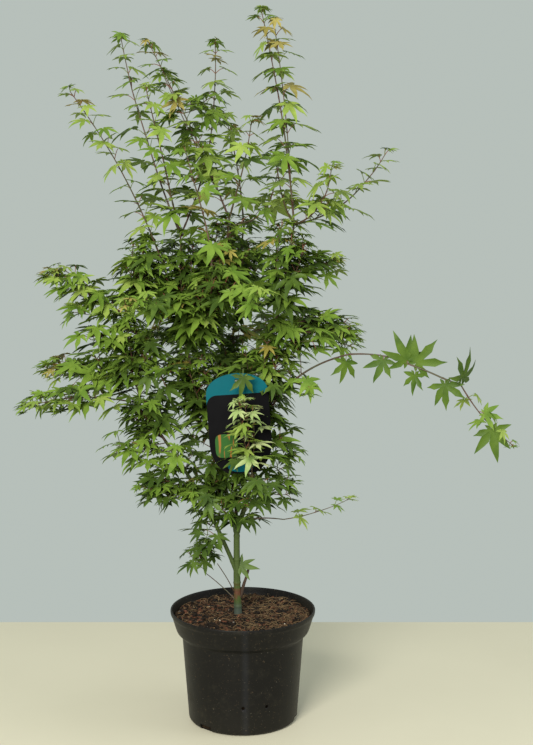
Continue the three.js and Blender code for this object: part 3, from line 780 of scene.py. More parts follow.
# mass: what it grows on, and its habit; where that is none, nothing grows, as the arm's own leaves
# are set one by one below
MASSES = {
    "left_low_mass": ("left_bough", "bush"),
    "left_mid_mass": ("left_low_mass", "bush"),
    "left_top_mass": ("left_mid_mass", "bush"),
    "centre_left_mass": ("left_fork", "bush"),
    "centre_right_mass": ("right_fork", "bush"),
    "upper_left_mass": ("centre_left_mass", "bush"),
    "upper_centre_mass": ("centre_left_mass", "bush"),
    "upper_right_mass": ("centre_right_mass", "bush"),
    "back_low_mass": ("back_bough", "bush"),
    "back_high_mass": ("back_low_mass", "bush"),
    "front_low_mass": ("front_bough", "open"),
    "front_high_mass": ("centre_left_mass", "bush"),
    "left_foot_spray": ("left_bough", "loose"),
    "left_inner_spray": ("left_fork", "loose"),
    "right_foot_spray": ("right_fork", "spray"),
    "right_low_spray": ("right_fork", "spray"),
    "right_side_spray": ("centre_right_mass", "thick"),
    "right_upper_spray": ("upper_right_mass", "spray"),
    "left_high_spray": ("left_mid_mass", "loose"),
    "left_long_spray": ("left_mid_mass", "loose"),
    "left_tip_spray": ("left_low_mass", "spray"),
    "back_left_spray": ("back_low_mass", "spray"),
    "back_right_spray": ("back_low_mass", "spray"),
    "back_far_spray": ("back_low_mass", "spray"),
    "front_left_spray": ("front_high_mass", "spray"),
    "front_right_spray": ("front_high_mass", "spray"),
    "shoot_far_left": ("centre_left_mass", "shoot"),
    "shoot_left": ("upper_left_mass", "shoot"),
    "shoot_left_inner": ("upper_left_mass", "shoot"),
    "shoot_leaning": ("upper_centre_mass", "full"),
    "shoot_middle": ("upper_left_mass", "shoot"),
    "shoot_mid_short": ("upper_centre_mass", "shoot"),
    "shoot_tall": ("upper_right_mass", "full"),
    "shoot_right_inner": ("upper_right_mass", "shoot"),
    "shoot_right": ("upper_right_mass", "shoot"),
    "shoot_right_front": ("upper_right_mass", "shoot"),
    "shoot_back": ("back_high_mass", "shoot"),
    "shoot_front": ("front_high_mass", "shoot"),
    "shoot_back_right": ("back_high_mass", "shoot"),
    "low_right_leaves": ("right_low_twig", "thin"),
    "sucker_leaves": ("sucker_long", "fine"),
    "arm_inner_leaves": ("right_arm", "none"),
    "arm_middle_leaves": ("right_arm_fall", "bare"),
    "arm_tip_leaves": ("arm_middle_leaves", "arm"),
}

# how the tints are dealt out to sprays: deep in the crown, on its outside, low down under the rest
# of it, high up along the shoots, and at young tips. The darker deals deep in the crown and low
# down are painted shade.
INNER_SHADED = (("deep", 0.40), ("mid", 0.55), ("fresh", 0.04), ("turning", 0.01))
OUTER = (("mid", 0.64), ("deep", 0.18), ("fresh", 0.18))
LOW_SHADED = (("deep", 0.56), ("mid", 0.43), ("bronze", 0.01))
HIGH = (("mid", 0.52), ("deep", 0.07), ("fresh", 0.41))
YOUNG = (("fresh", 0.52), ("mid", 0.36), ("bronze", 0.12))
BRONZED = ("shoot_leaning", "shoot_tall")  # shoots whose tips are bronze twice as often
TINTS_OF = {
    "front_low_mass": (("pale", 0.6), ("fresh", 0.4)),
    "sucker_leaves": (("deep", 1.0),),
    "low_right_leaves": (("mid", 0.5), ("fresh", 0.5)),
    "arm_tip_leaves": (("fresh", 0.2), ("mid", 0.8)),
}
CROWN_MIDDLE = np.array([-0.02, 0.0, 0.60])
CROWN_HALF = np.array([0.15, 0.13, 0.19])
LOW_DOWN, HIGH_UP = 0.50, 0.76

SHOOT_STEPS, TWIG_STEPS, STALK_STEPS = 28, 8, 6
TWIG_ROOT, TWIG_TIP, CARRIER_TIP = 0.0008, 0.00045, 0.0013
TWIG_PAIRS, LEAST_TWIG, TWIG_LIFT, BUDS_OPEN = 0.017, 0.007, 0.18, 0.92
STALK_SHARES, STALK_BOW, RED_STALKS = (0.35, 0.75), 0.12, 0.45
LEAF_VARIES, DROOP_VARIES = (0.8, 1.18), 15
ASKEW = (0.31, -0.95, 0.05)  # a direction that no stem runs along
grow = np.random.default_rng(2024)
shoots = {"paths": [], "radii": []}
twigs = {"paths": [], "radii": []}
stalks = {"green": [], "red": []}
leaves = {"deep": [], "mid": [], "fresh": [], "bronze": [], "turning": [], "pale": [], "large": []}
roomy_low = np.array(cad_low) - 0.010
roomy_high = np.array(cad_high) + 0.006


def unit(vector):
    """The vector at length 1."""
    return vector / np.linalg.norm(vector)


def beside(heading, turn):
    """The direction square to a heading, carried round it by an angle."""
    first = unit(np.cross(heading, ASKEW))
    return math.cos(turn) * first + math.sin(turn) * np.cross(heading, first)


def drawn(deal, pick):
    """The name whose part of the deal holds a number from 0 to 1."""
    names, shares = zip(*deal)
    return names[np.searchsorted(np.cumsum(shares), min(0.999, pick))]


def tint_at(place, mass):
    """A tint drawn for one spray: painted shade, dark inside the crown and low down under it, brighter
    towards its outside and top.
    """
    depth = np.linalg.norm((place - CROWN_MIDDLE) / CROWN_HALF)
    deal = INNER_SHADED if depth < 0.95 else OUTER
    if place[2] < LOW_DOWN or place[2] > HIGH_UP:
        deal = LOW_SHADED if place[2] < LOW_DOWN else HIGH
    return drawn(TINTS_OF.get(mass, deal), grow.random() * 0.999)


def young_tint(share, mass):
    """A tint for the young end of a shoot, bronze more often at its very tip."""
    return drawn(YOUNG, grow.random() * (0.85 + 0.15 * share) + (0.12 if mass in BRONZED else 0))


def bear_leaf(start, out, size, tint, droop_mean, facing=None, stalk=None):
    """
    One leaf on its stalk: the stalk leaves the twig along `out`, and the blade spreads from its
    end like a small umbrella, its middle lobe outwards and down by the droop. With `facing`, the
    blade goes on along the stalk and turns its face that way instead. `stalk` is its length where
    chance doesn't settle it.
    """
    stalk_length = size * grow.uniform(*STALK_SHARES) if stalk is None else stalk
    rise = unit(out + UP * grow.uniform(0.05, 0.5)) if facing is None else out
    end = start + rise * stalk_length
    flat = unit(out * (1, 1, 0) + grow.normal(0, 0.25, 3) * (1, 1, 0) + 1e-6)
    droop = math.radians(np.clip(grow.normal(droop_mean, DROOP_VARIES), -10, 80))
    along = flat * math.cos(droop) - UP * math.sin(droop)
    face = flat * math.sin(droop) + UP * math.cos(droop)
    if facing is not None:
        along = unit(out + grow.normal(0, 0.06, 3))
        face = unit(facing + grow.normal(0, 0.1, 3))
    face = unit(face + np.cross(along, face) * grow.normal(0, 0.25))
    size = size * grow.uniform(*LEAF_VARIES)
    reach = end + along * size
    if (reach < roomy_low).any() or (reach > roomy_high).any():
        return
    s = np.linspace(0, 1, STALK_STEPS)[:, None]
    bow = start + (end - start) * s + UP * STALK_BOW * stalk_length * np.sin(np.pi * s)
    stalks["red" if grow.random() < RED_STALKS else "green"].append(bow)
    leaves[tint].append((end, along, face, size))


def grow_twig(start, out, length, leaf, tint, droop):
    """A side twig that curves upwards, with a pair of leaves at each bud and one at its tip."""
    s = np.linspace(0, 1, TWIG_STEPS)[:, None]
    curl = grow.normal(0, 0.04, 3) * length
    path = start + out * length * s + UP * length * TWIG_LIFT * s * s + curl * s * s
    twigs["paths"].append(path)
    twigs["radii"].append(np.linspace(TWIG_ROOT, TWIG_TIP, TWIG_STEPS))
    pairs = max(1, int(length / TWIG_PAIRS))
    heading = unit(path[-1] - path[0])
    level = unit(np.cross(heading, UP) + 1e-6)
    for k in range(pairs):
        share = (k + 1) / (pairs + 0.3)
        spot = path[0] + (path[-1] - path[0]) * min(share, 1)
        square = level if k % 2 == 0 else unit(np.cross(heading, level))
        for side in (-1, 1):
            if grow.random() < BUDS_OPEN:
                aim = unit(square * side + heading * 0.5 + grow.normal(0, 0.15, 3))
                bear_leaf(spot, aim, leaf * (0.8 + 0.25 * share), tint, droop)
    bear_leaf(path[-1], unit(heading + grow.normal(0, 0.2, 3)), leaf * 0.9, tint, droop)


def bend(start, through, end):
    """A quadratic arc from start to end whose middle control point is `through`."""
    s = np.linspace(0, 1, LINE_POINTS)[:, None]
    return (1 - s) ** 2 * start + 2 * s * (1 - s) * through + s**2 * end


def leader_of(mass, parent_line, trim):
    """
    The leading shoot of a mass, from its parent's wood to a little before the far end of the
    mass: one arc whose middle is fitted to the middles of the mass's slices. Gives the arc and
    how far the mass spreads round it.
    """
    spots, weight = sampled(mass)
    centre = np.average(spots, axis=0, weights=weight)
    index = np.linalg.norm(parent_line - centre, axis=1).argmin()
    index = len(parent_line) - 1 if index > 50 else max(0, index - 7)
    start = parent_line[index]
    t = (spots - start) @ unit(centre - start)
    end = np.average(spots, axis=0, weights=weight * (t > np.quantile(t, 0.985)))
    chord = end - start
    end = end - unit(chord) * min(trim, 0.35 * np.linalg.norm(chord))
    chord = end - start
    at = np.clip((spots - start) @ chord / (chord @ chord), 0, 0.999)
    middles, at = slice_middles(spots, weight, at, 10)
    pull = 2 * at * (1 - at)
    left_over = middles - ((1 - at) ** 2)[:, None] * start - (at**2)[:, None] * end
    through = (left_over * pull[:, None]).sum(0) / (pull**2).sum()
    curve = bend(start, through, end)
    return curve, half_width(curve, spots, weight)


def leaf_out(curve, reach, rule, habit, mass):
    """Twigs and leaves in opposite pairs along a stem, each pair square to the last."""
    length = length_of(curve)
    roll = grow.uniform(0, np.pi)
    run = rule["pairs"] * (1.0 if habit in SHOOT_HABITS else 0.6)
    inset = 0.8 if habit in SHOOT_HABITS else 1.05
    while run < length:
        share = run / length
        at = share * (LINE_POINTS - 1)
        k = min(int(at), LINE_POINTS - 2)
        spot = curve[k] + (curve[k + 1] - curve[k]) * (at - k)
        heading = unit(curve[k + 1] - curve[k])
        tint = tint_at(spot, mass)
        young_spray = habit in ("spray", "loose") and share > 0.85 and spot[2] > LOW_DOWN
        if habit in SHOOT_HABITS and share > 0.4 or young_spray:
            tint = tint_at(spot, mass) if share < 0.7 and grow.random() < 0.5 else young_tint(share, mass)
        size = rule["leaf"] * (1.08 - 0.55 * share**2.5)
        for side in (-1, 1):
            out = side * beside(heading, roll)
            out = unit(out + heading * 0.5 + UP * 0.15 + grow.normal(0, 0.12, 3))
            spare = reach[k] * grow.uniform(0.8, 1.15) - rule["leaf"] * inset
            if spare > LEAST_TWIG and share < 0.9:
                grow_twig(spot, out, spare, rule["leaf"], tint, rule["droop"])
            else:
                bear_leaf(spot, out, size, tint, rule["droop"])
        roll += np.pi / 2 + grow.normal(0, 0.2)
        run += rule["pairs"] * grow.uniform(0.85, 1.15) * (1 - 0.6 * share**3)
    tip_heading = unit(curve[-1] - curve[-4])
    for _ in range(3):
        aim = unit(tip_heading + grow.normal(0, 0.45, 3))
        young = habit in YOUNG_ENDED and curve[-1, 2] > LOW_DOWN
        tint = young_tint(1, mass) if young else tint_at(curve[-1], mass)
        bear_leaf(curve[-1], aim, rule["leaf"] * 0.45, tint, 10)


def grow_mass(mass, parent, habit):
    """The leading shoot of a mass, the stems that rise beside it, and what each of them bears."""
    rule = HABITS[habit]
    carries = any(on == mass for on, _ in MASSES.values())
    curve, half = leader_of(mass, wood[parent], rule["leaf"] * rule["spare"])
    sway = grow.normal(0, 0.0014, (5, 3)) * np.linspace(0, 1, 5)[:, None]
    knots = np.linspace(0, 4, LINE_POINTS)
    curve = curve + np.stack([np.interp(knots, range(5), sway[:, k]) for k in range(3)], -1)
    sag = SAGS.get(mass, 0) * np.linspace(0, 1, LINE_POINTS)[:, None] ** 2
    curve = resampled(curve - UP * sag, LINE_POINTS)
    wood[mass] = curve
    shoots["paths"].append(resampled(curve, SHOOT_STEPS))
    tip = CARRIER_TIP if carries else rule["tip"]
    shoots["radii"].append(np.linspace(rule["root"], tip, SHOOT_STEPS))
    if habit == "bare":
        return
    leaf_out(curve, half * (0.55 if rule["stems"] else 0.95), rule, habit, mass)
    for stem in range(rule["stems"]):
        turn = 2 * np.pi * (stem + grow.uniform(-0.25, 0.25)) / rule["stems"]
        low = int(grow.uniform(2, 20))
        high = int(grow.uniform(44, 59))
        aside = beside(unit(curve[-1] - curve[0]), turn)
        end = curve[high] + aside * max(half[high], 0.6 * half[30]) * grow.uniform(0.5, 0.85)
        through = (curve[low] + end) / 2 + aside * half[30] * 0.22
        side_stem = bend(curve[low], through, end)
        shoots["paths"].append(resampled(side_stem, SHOOT_STEPS))
        shoots["radii"].append(np.linspace(rule["root"] * 0.6, rule["tip"], SHOOT_STEPS))
        leaf_out(side_stem, np.full(LINE_POINTS, half[30] * 0.5), rule, habit, mass)


for mass, (parent, habit) in MASSES.items():
    if habit != "none":
        grow_mass(mass, parent, habit)

# short spurs with a few leaves each stand along the upper parts of the limbs: where they start and
# end, as shares of the limb, and the longest
SPURS = {
    "left_bough": (0.22, 1.0, 0.060),
    "left_fork": (0.02, 1.0, 0.045),
    "right_fork": (0.10, 1.0, 0.045),
    "front_bough": (0.3, 1.0, 0.030),
    "back_bough": (0.4, 1.0, 0.045),
    "right_arm": (0.36, 0.68, 0.040),
}
SPUR_SPACING, SPUR_LEAF, SPUR_LEAST = 0.013, 0.029, 0.012
TWIG_DROOP = 22
for limb, (low, high, longest) in SPURS.items():
    line = resampled(wood[limb], LINE_POINTS)
    for share in np.arange(low, high, SPUR_SPACING / length_of(line)):
        k = min(int(share * (LINE_POINTS - 1)), LINE_POINTS - 2)
        heading = unit(line[k + 1] - line[k])
        out = unit(beside(heading, grow.uniform(0, 2 * np.pi)) + heading * 0.4)
        length = grow.uniform(SPUR_LEAST, longest) * (0.6 + 0.7 * share)
        grow_twig(line[k], out, length, SPUR_LEAF, tint_at(line[k], limb), TWIG_DROOP)

# a few longer twigs fill the space under the lowest sprays on the left
LONG_LEAF = 0.034
for share in (0.50, 0.64, 0.78, 0.92):
    spot = wood["left_bough"][int((LINE_POINTS - 1) * share)]
    out = unit(np.array([-1.0, grow.uniform(-0.5, 0.2), grow.uniform(-0.05, 0.15)]))
    tint = "deep" if share < 0.7 else "mid"
    grow_twig(spot, out, grow.uniform(0.040, 0.062), LONG_LEAF, tint, TWIG_DROOP)

# one leaf on its own beside the trunk, and a dark one that hangs over the top of the tag
LONE_LEAF = 0.030
out, facing = unit(np.array([0.9, -0.3, -0.1])), np.array([0.2, -1.0, 0.8])
bear_leaf(wood["trunk"][34], out, LONE_LEAF, "deep", 0, facing, 0.006)
tag_low, tag_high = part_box("hang_tag")
tag_centre = (np.array(tag_low) + np.array(tag_high)) / 2
over_tag = tag_centre + (0.006, -0.014, 0.083)
out, facing = unit(np.array([0.0, -0.05, -1.0])), np.array([0.1, -1.0, 0.1])
bear_leaf(over_tag, out, LONE_LEAF, "deep", 0, facing)

# The arm's leaves are the largest and face outwards, far apart: on which member and how far along
# it, which way the blade points in degrees up from level, how far it is turned aside, its length,
# the stalk's, and its tint.
ARM_LEAVES = (
    ("right_arm", 0.99, -97, 0, 0.032, 0.010, "large"),
    ("right_arm_fall", 0.90, -102, 10, 0.044, 0.006, "large"),
    ("arm_middle_leaves", 0.28, 112, -30, 0.038, 0.006, "large"),
    ("arm_middle_leaves", 0.34, 50, 15, 0.044, 0.006, "large"),
    ("arm_middle_leaves", 0.40, -104, -10, 0.032, 0.012, "large"),
    ("arm_middle_leaves", 0.78, -88, 0, 0.049, 0.008, "large"),
    ("arm_middle_leaves", 0.97, 66, 56, 0.042, 0.010, "large"),
    ("arm_tip_leaves", 0.42, -16, 20, 0.032, 0.008, "mid"),
    ("arm_tip_leaves", 0.66, -72, -10, 0.044, 0.006, "large"),
)
for member, share, turn, aside, size, stalk, tint in ARM_LEAVES:
    spot = wood[member][int((LINE_POINTS - 1) * share)]
    turn, aside = math.radians(turn), math.radians(aside)
    way = unit(np.array([math.cos(turn), -0.12, math.sin(turn)]))
    bear_leaf(spot, way, size, tint, 0, np.array([math.sin(aside), -math.cos(aside), 0.35]), stalk)

# twigs that fill hollows between the sprays: what each grows on, how far along, its heading, its
# length and its tint
FILL_TWIGS = (
    ("left_long_spray", 0.41, (-0.1, -0.4, 1.0), 0.052, "mid"),
    ("left_mid_mass", 0.69, (-1.0, -0.3, -0.05), 0.075, "mid"),
    ("left_mid_mass", 0.60, (-1.0, 0.3, 0.10), 0.070, "deep"),
    ("left_high_spray", 0.14, (-1.0, -0.1, -0.25), 0.060, "mid"),
    ("left_mid_mass", 0.32, (1.0, -0.7, 0.10), 0.055, "deep"),
    ("centre_left_mass", 0.76, (-1.0, -0.9, -0.10), 0.055, "mid"),
    ("centre_right_mass", 0.95, (1.0, -0.5, -0.15), 0.070, "mid"),
    ("upper_centre_mass", 0.95, (1.0, -0.4, 0.15), 0.046, "mid"),
    ("shoot_leaning", 0.60, (1.0, -0.4, 0.15), 0.040, "mid"),
    ("shoot_leaning", 0.66, (1.0, -0.1, -0.10), 0.034, "mid"),
    ("shoot_right", 0.17, (0.3, -1.0, 0.20), 0.040, "fresh"),
)
FILL_DROOP = 20
for member, share, way, length, tint in FILL_TWIGS:
    spot = wood[member][int((LINE_POINTS - 1) * share)]
    grow_twig(spot, unit(np.array(way)), length, LONG_LEAF, tint, FILL_DROOP)

SHOOT_OLIVE, SHOOT_RED, SHOOT_SHADE = (0.070, 0.066, 0.024), (0.100, 0.040, 0.024), (0.05, 0.03, 0.018)
SHOOT_SIDES, TWIG_SIDES, RINGS_BETWEEN = 8, 5, 3
BUD_EVERY, BUD_HALF = 0.034, 0.0016

shoot_look = Look("shoot_bark", 0.5)
shade = shoot_look.noise(130, 3)
blush = shoot_look.ramp(shoot_look.noise(34, 2), 0.36, 0.60)
reddened = shoot_look.mix(blush, SHOOT_OLIVE, SHOOT_RED)
shoot_look.feed("Base Color", shoot_look.mix(shade * 0.6, reddened, SHOOT_SHADE))
shoot_look.raise_by(shoot_look.noise(700, 2), 0.0003)


def bud_swelling(angle, run):
    """1 with a small bulge at each pair of buds."""
    from_bud = np.abs((run / BUD_EVERY) % 1 - 0.5) * BUD_EVERY
    return 1 + 0.28 * np.exp(-((from_bud / BUD_HALF) ** 2)) + 0 * angle


def finer(paths, factor):
    """Paths with more points, straight between the old ones."""
    old = np.arange(paths.shape[1])
    new = np.linspace(0, old[-1], (paths.shape[1] - 1) * factor + 1)
    low = np.minimum(new.astype(int), old[-1] - 1)
    part = (new - low)[None, :, None]
    return paths[:, low] * (1 - part) + paths[:, low + 1] * part


shoot_paths = finer(np.array(shoots["paths"]), RINGS_BETWEEN)
shoot_radii = finer(np.array(shoots["radii"])[..., None], RINGS_BETWEEN)[..., 0]
shoot_tubes = tubes(shoot_paths, shoot_radii, SHOOT_SIDES, bud_swelling)
leading = add_piece("leading_shoots", *shoot_tubes, shoot_look)
twig_tubes = tubes(np.array(twigs["paths"]), np.array(twigs["radii"]), TWIG_SIDES)
side_twigs = add_piece("side_twigs", *twig_tubes, shoot_look)
for piece in (leading, side_twigs):
    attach(piece, "root")

# ---------------------------------------------------------------- leaf stalks
# Each leaf's own thin stalk, which bows up from its bud to the blade: green on most leaves, and
# red on the rest.

STALK_COLOURS = {"green": (0.16, 0.22, 0.05), "red": (0.22, 0.07, 0.035)}
STALK_ROOT, STALK_TIP, STALK_SIDES = 0.0006, 0.00042, 4
for kind, bows in stalks.items():
    look = Look(f"stalk_{kind}", 0.5)
    duller = [0.7 * c for c in STALK_COLOURS[kind]]
    look.feed("Base Color", look.mix(look.noise(90, 2), duller, STALK_COLOURS[kind]))
    paths = np.array(bows)
    radii = np.broadcast_to(np.linspace(STALK_ROOT, STALK_TIP, STALK_STEPS), paths.shape[:2])
    piece = add_piece(f"leaf_stalks_{kind}", *tubes(paths, radii, STALK_SIDES), look)
    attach(piece, "root")

# ---------------------------------------------------------------- leaves
# Thin blades of five main lobes and two small ones at the base, each lobe drawn out to a long
# point, folded a little along its rib and curving down towards its tip.

LOBE_TURNS = np.radians([0, 43, -43, 90, -90, 136, -136])
LOBE_LENGTHS = np.array([1.0, 0.92, 0.92, 0.68, 0.68, 0.30, 0.30])
LOBES = len(LOBE_TURNS)
LOBE_STATIONS = np.array([0.38, 0.60, 0.79])
LOBE_WIDTHS = np.array([0.130, 0.124, 0.058])
NOTCH, BASE_CORNER, BASE_SPREAD = 0.27, 0.1, 0.45
POINTS_OF_LOBE = 10
FIRST_RIB = LOBES + 2  # after the stalk's point, the six notches and the two base corners


def polar(turn):
    """The flat point one away in the direction of an angle."""
    return np.array([math.cos(turn), math.sin(turn)])


def leaf_template(draw):
    """
    One leaf of size 1, with its stalk at the origin, its middle lobe along X and its face up Z.
    Along each lobe runs a rib of three points, with an edge point either side of each, up to a
    single point at its tip; the notch between two lobes is one point that both share. The blade
    is cupped by its edges' rise and hangs lower the further it is from the stalk.
    """
    lengths = LOBE_LENGTHS * draw.uniform(0.88, 1.08, LOBES)
    turns = LOBE_TURNS + draw.normal(0, 0.06, LOBES)
    sweep = draw.normal(0, 0.08, LOBES)
    order = np.argsort(turns)
    flat = [np.zeros((1, 2))]
    notch = {}
    for left, right in zip(order[:-1], order[1:]):
        away = NOTCH * (lengths[left] + lengths[right]) / 2
        flat.append(away * polar((turns[left] + turns[right]) / 2)[None])
        notch[(left, 1)] = notch[(right, -1)] = len(notch) // 2 + 1
    for end, side in ((order[0], -1), (order[-1], 1)):
        flat.append(BASE_CORNER * polar(turns[end] + side * BASE_SPREAD)[None])
        notch[(end, side)] = LOBES if side < 0 else LOBES + 1
    corners3, corners4 = [], []
    edge = [0] + [1] * (LOBES + 1)
    for lobe in range(LOBES):
        bend_of = turns[lobe] + sweep[lobe] * LOBE_STATIONS**2
        way = np.stack([np.cos(bend_of), np.sin(bend_of)], -1)
        rib = lengths[lobe] * LOBE_STATIONS[:, None] * way
        tooth = 1 + 0.12 * np.array([1, -1, 1]) * draw.choice([-1, 1])
        widths = LOBE_WIDTHS * lengths[lobe] ** 0.6 * tooth
        aside = np.stack([-way[:, 1], way[:, 0]], -1) * widths[:, None]
        flat += [rib, rib + aside, rib - aside, lengths[lobe] * way[-1:]]
        edge += [0] * 3 + [1] * 6 + [0]
        r = FIRST_RIB + POINTS_OF_LOBE * lobe
        u, d, tip = r + 3, r + 6, r + 9
        corners4 += [(0, r, u, notch[(lobe, 1)]), (0, notch[(lobe, -1)], d, r)]
        for k in range(2):
            corners4 += [(r + k, r + k + 1, u + k + 1, u + k), (d + k, d + k + 1, r + k + 1, r + k)]
        corners3 += [(r + 2, tip, u + 2), (d + 2, tip, r + 2)]
    outline = np.concatenate(flat)
    out = np.linalg.norm(outline, axis=1)
    hang = draw.uniform(0.06, 0.30) * out**2.2
    ripple = 0.04 * np.sin(7 * outline[:, 0] + draw.uniform(0, 6)) * np.sin(6 * outline[:, 1])
    height = draw.uniform(0.02, 0.05) * np.array(edge) - hang + ripple * out
    return np.column_stack([outline, height]), np.array(corners3), np.array(corners4)


def spread_out(template, blades, first):
    """One template set on many blades, with its corners numbered on from the first free point."""
    outline, corners3, corners4 = template
    ends, along, face, size = (np.array(column) for column in zip(*blades))
    placed = np.einsum("nij,kj->nki", turns_to(along, face), outline) * size[:, None, None]
    placed += ends[:, None]
    shift = (first + np.arange(len(blades)) * len(outline))[:, None, None]
    return placed.reshape(-1, 3), (corners3 + shift).reshape(-1, 3), (corners4 + shift).reshape(-1, 4)


LEAF_KINDS = 8
leaf_draw = np.random.default_rng(5)
templates = [leaf_template(leaf_draw) for _ in range(LEAF_KINDS)]

# the darker and the lighter green of each tint
LEAF_COLOURS = {
    "deep": ((0.034, 0.066, 0.008), (0.080, 0.134, 0.017)),
    "mid": ((0.092, 0.168, 0.017), (0.164, 0.256, 0.033)),
    "fresh": ((0.160, 0.248, 0.035), (0.258, 0.340, 0.066)),
    "bronze": ((0.200, 0.160, 0.034), (0.310, 0.270, 0.074)),
    "turning": ((0.220, 0.185, 0.030), (0.350, 0.300, 0.070)),
    "pale": ((0.210, 0.310, 0.085), (0.430, 0.470, 0.230)),
    "large": ((0.040, 0.086, 0.006), (0.082, 0.142, 0.012)),
}
for tint, blades in leaves.items():
    parts = []
    first = 0
    for kind in range(min(LEAF_KINDS, len(blades))):
        parts.append(spread_out(templates[kind], blades[kind::LEAF_KINDS], first))
        first += len(parts[-1][0])
    points, faces3, faces4 = (np.concatenate(column) for column in zip(*parts))
    look = Look(f"leaf_{tint}", 0.5, 0.25)
    dark, light = LEAF_COLOURS[tint]
    mottle = look.ramp(look.noise(38, 3), 0.3, 0.7)
    look.feed("Base Color", look.mix(mottle, dark, light))
    look.feed("Roughness", 0.46 + look.noise(60, 2) * 0.2)
    look.raise_by(look.noise(420, 3), 0.0003, 0.6)
    piece = add_piece(f"leaves_{tint}", points, [faces4, faces3], look)
    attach(piece, "root")
    if tint == "mid":  # the commonest tint stands for every mass
        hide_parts(*MASSES)

# ---------------------------------------------------------------- the hang tag
# A printed plastic card with an arched top, hung on a thin loop through its hole. The print is
# plain here: a teal head, a dark field, a small striped picture panel and a teal spot.

TAG_HALF, TAG_FOOT_HALF, TAG_TALL = 0.046, 0.020, 0.148
TAG_SHOULDER, TAG_TAPER, TAG_THICK = 0.030, 0.048, 0.0008
TAG_HOLE, TAG_HOLE_DROP = 0.0026, 0.011
TAG_LEAN, TAG_SWING = math.radians(5), math.radians(-4)
CURL_ACROSS, CURL_ALONG = 0.9, 0.35
TAPER_STEPS, ARCH_STEPS = 24, 41
HEAD_FOOT, FIELD_ROUND = 0.043, 0.015
PANEL_MIDDLE, PANEL_HALF = (-0.021, -0.032), (0.0165, 0.0175)
SPOT_MIDDLE, SPOT_HALF = (-0.002, -0.0635), (0.019, 0.0085)
TEAL_DEEP, TEAL, TEAL_SPOT = (0.003, 0.075, 0.098), (0.004, 0.105, 0.13), (0.003, 0.11, 0.155)
FIELD_BLACK, FIELD_WORN = (0.002, 0.002, 0.0025), (0.008, 0.0075, 0.009)
PANEL_GREEN, PANEL_STRIPE = (0.030, 0.095, 0.022), (0.26, 0.115, 0.03)


def bezier(controls, steps):
    """A Bezier curve of any order: its controls are drawn together in pairs until one is left."""
    s = np.linspace(0, 1, steps)[:, None]
    level = [np.asarray(control) * np.ones_like(s) for control in controls]
    while len(level) > 1:
        level = [(1 - s) * a + s * b for a, b in zip(level[:-1], level[1:])]
    return level[0]


def tag_outline():
    """Half the card, from the middle of its foot up to the top of its arch, and its mirror image."""
    foot, top = -TAG_TALL / 2, TAG_TALL / 2
    shoulder = top - TAG_SHOULDER
    arch = shoulder + TAG_SHOULDER * 4 / 3
    taper = [(TAG_FOOT_HALF, foot), (TAG_HALF, foot + TAG_TAPER * 0.3), (TAG_HALF, foot + TAG_TAPER)]
    side = bezier(taper, TAPER_STEPS)
    over = [(TAG_HALF, shoulder), (TAG_HALF, arch), (-TAG_HALF, arch), (-TAG_HALF, shoulder)]
    crown = bezier(over, ARCH_STEPS)
    right = np.concatenate([side, crown[:ARCH_STEPS // 2 + 1]])
    return np.concatenate([right, right[-2::-1] * (-1, 1)])


def card_points():
    """The card's outline drawn in to its hole's rim, front and back, with a slight curl across it."""
    outline = tag_outline()
    middle = np.array([0, TAG_TALL / 2 - TAG_HOLE_DROP])
    turn = np.arctan2(outline[:, 1] - middle[1], outline[:, 0])
    hole = middle + TAG_HOLE * np.stack([np.cos(turn), np.sin(turn)], -1)
    shares = np.r_[0, 0.01, np.linspace(0.06, 1, 14)][:, None, None]
    sheet = outline + (hole - outline) * shares
    curl = CURL_ACROSS * sheet[..., 0] ** 2 + CURL_ALONG * sheet[..., 1] ** 2
    front = np.stack([sheet[..., 0], curl - TAG_THICK / 2, sheet[..., 1]], -1)
    back = front + (0, TAG_THICK, 0)
    return np.concatenate([front, back[::-1]])


def hung(points):
    """Leans the card back, swings it round and moves it to its place."""
    c, s = math.cos(-TAG_LEAN), math.sin(-TAG_LEAN)
    leaning = np.array([[1, 0, 0], [0, c, -s], [0, s, c]])
    c, s = math.cos(TAG_SWING), math.sin(TAG_SWING)
    swung = np.array([[c, 0, s], [0, 1, 0], [-s, 0, c]])
    return points @ (swung @ leaning).T + tag_centre


tag_look = Look("printed_card", 0.4, 0.04)
c, s = math.cos(TAG_SWING), math.sin(TAG_SWING)
off_x, off_z = tag_look.axis("X") - tag_centre[0], tag_look.axis("Z") - tag_centre[2]
across = off_x * c - off_z * s
up_card = off_x * s + off_z * c
corner_x = (FIELD_ROUND - TAG_HALF - across).above(0.0)
corner_z = (up_card - (HEAD_FOOT - FIELD_ROUND)).above(0.0)
head = corner_x * corner_x + corner_z * corner_z > FIELD_ROUND**2
field = tag_look.mix(tag_look.noise(40, 3) * 0.5, FIELD_BLACK, FIELD_WORN)
printed = tag_look.mix(head, field, tag_look.mix(tag_look.noise(30, 2), TEAL_DEEP, TEAL))
panel_x = (across - PANEL_MIDDLE[0]) / PANEL_HALF[0]
panel_z = (up_card - PANEL_MIDDLE[1]) / PANEL_HALF[1]
in_panel = panel_x * panel_x * panel_x * panel_x + panel_z * panel_z * panel_z * panel_z < 1.0
stripe = tag_look.ramp(tag_look.noise(210, 2, at=tag_look.stretched((1, 1, 0.12))), 0.52, 0.6)
printed = tag_look.mix(in_panel, printed, tag_look.mix(stripe, PANEL_GREEN, PANEL_STRIPE))
spot_x = (across - SPOT_MIDDLE[0]) / SPOT_HALF[0]
spot_z = (up_card - SPOT_MIDDLE[1]) / SPOT_HALF[1]
printed = tag_look.mix(spot_x * spot_x + spot_z * spot_z < 1.0, printed, TEAL_SPOT)
tag_look.feed("Base Color", printed)
tag_look.feed("Roughness", 0.34 + tag_look.noise(30, 2) * 0.12)
card_rings = card_points()
card_faces = grid_faces(len(card_rings), card_rings.shape[1], wrap_rows=True)
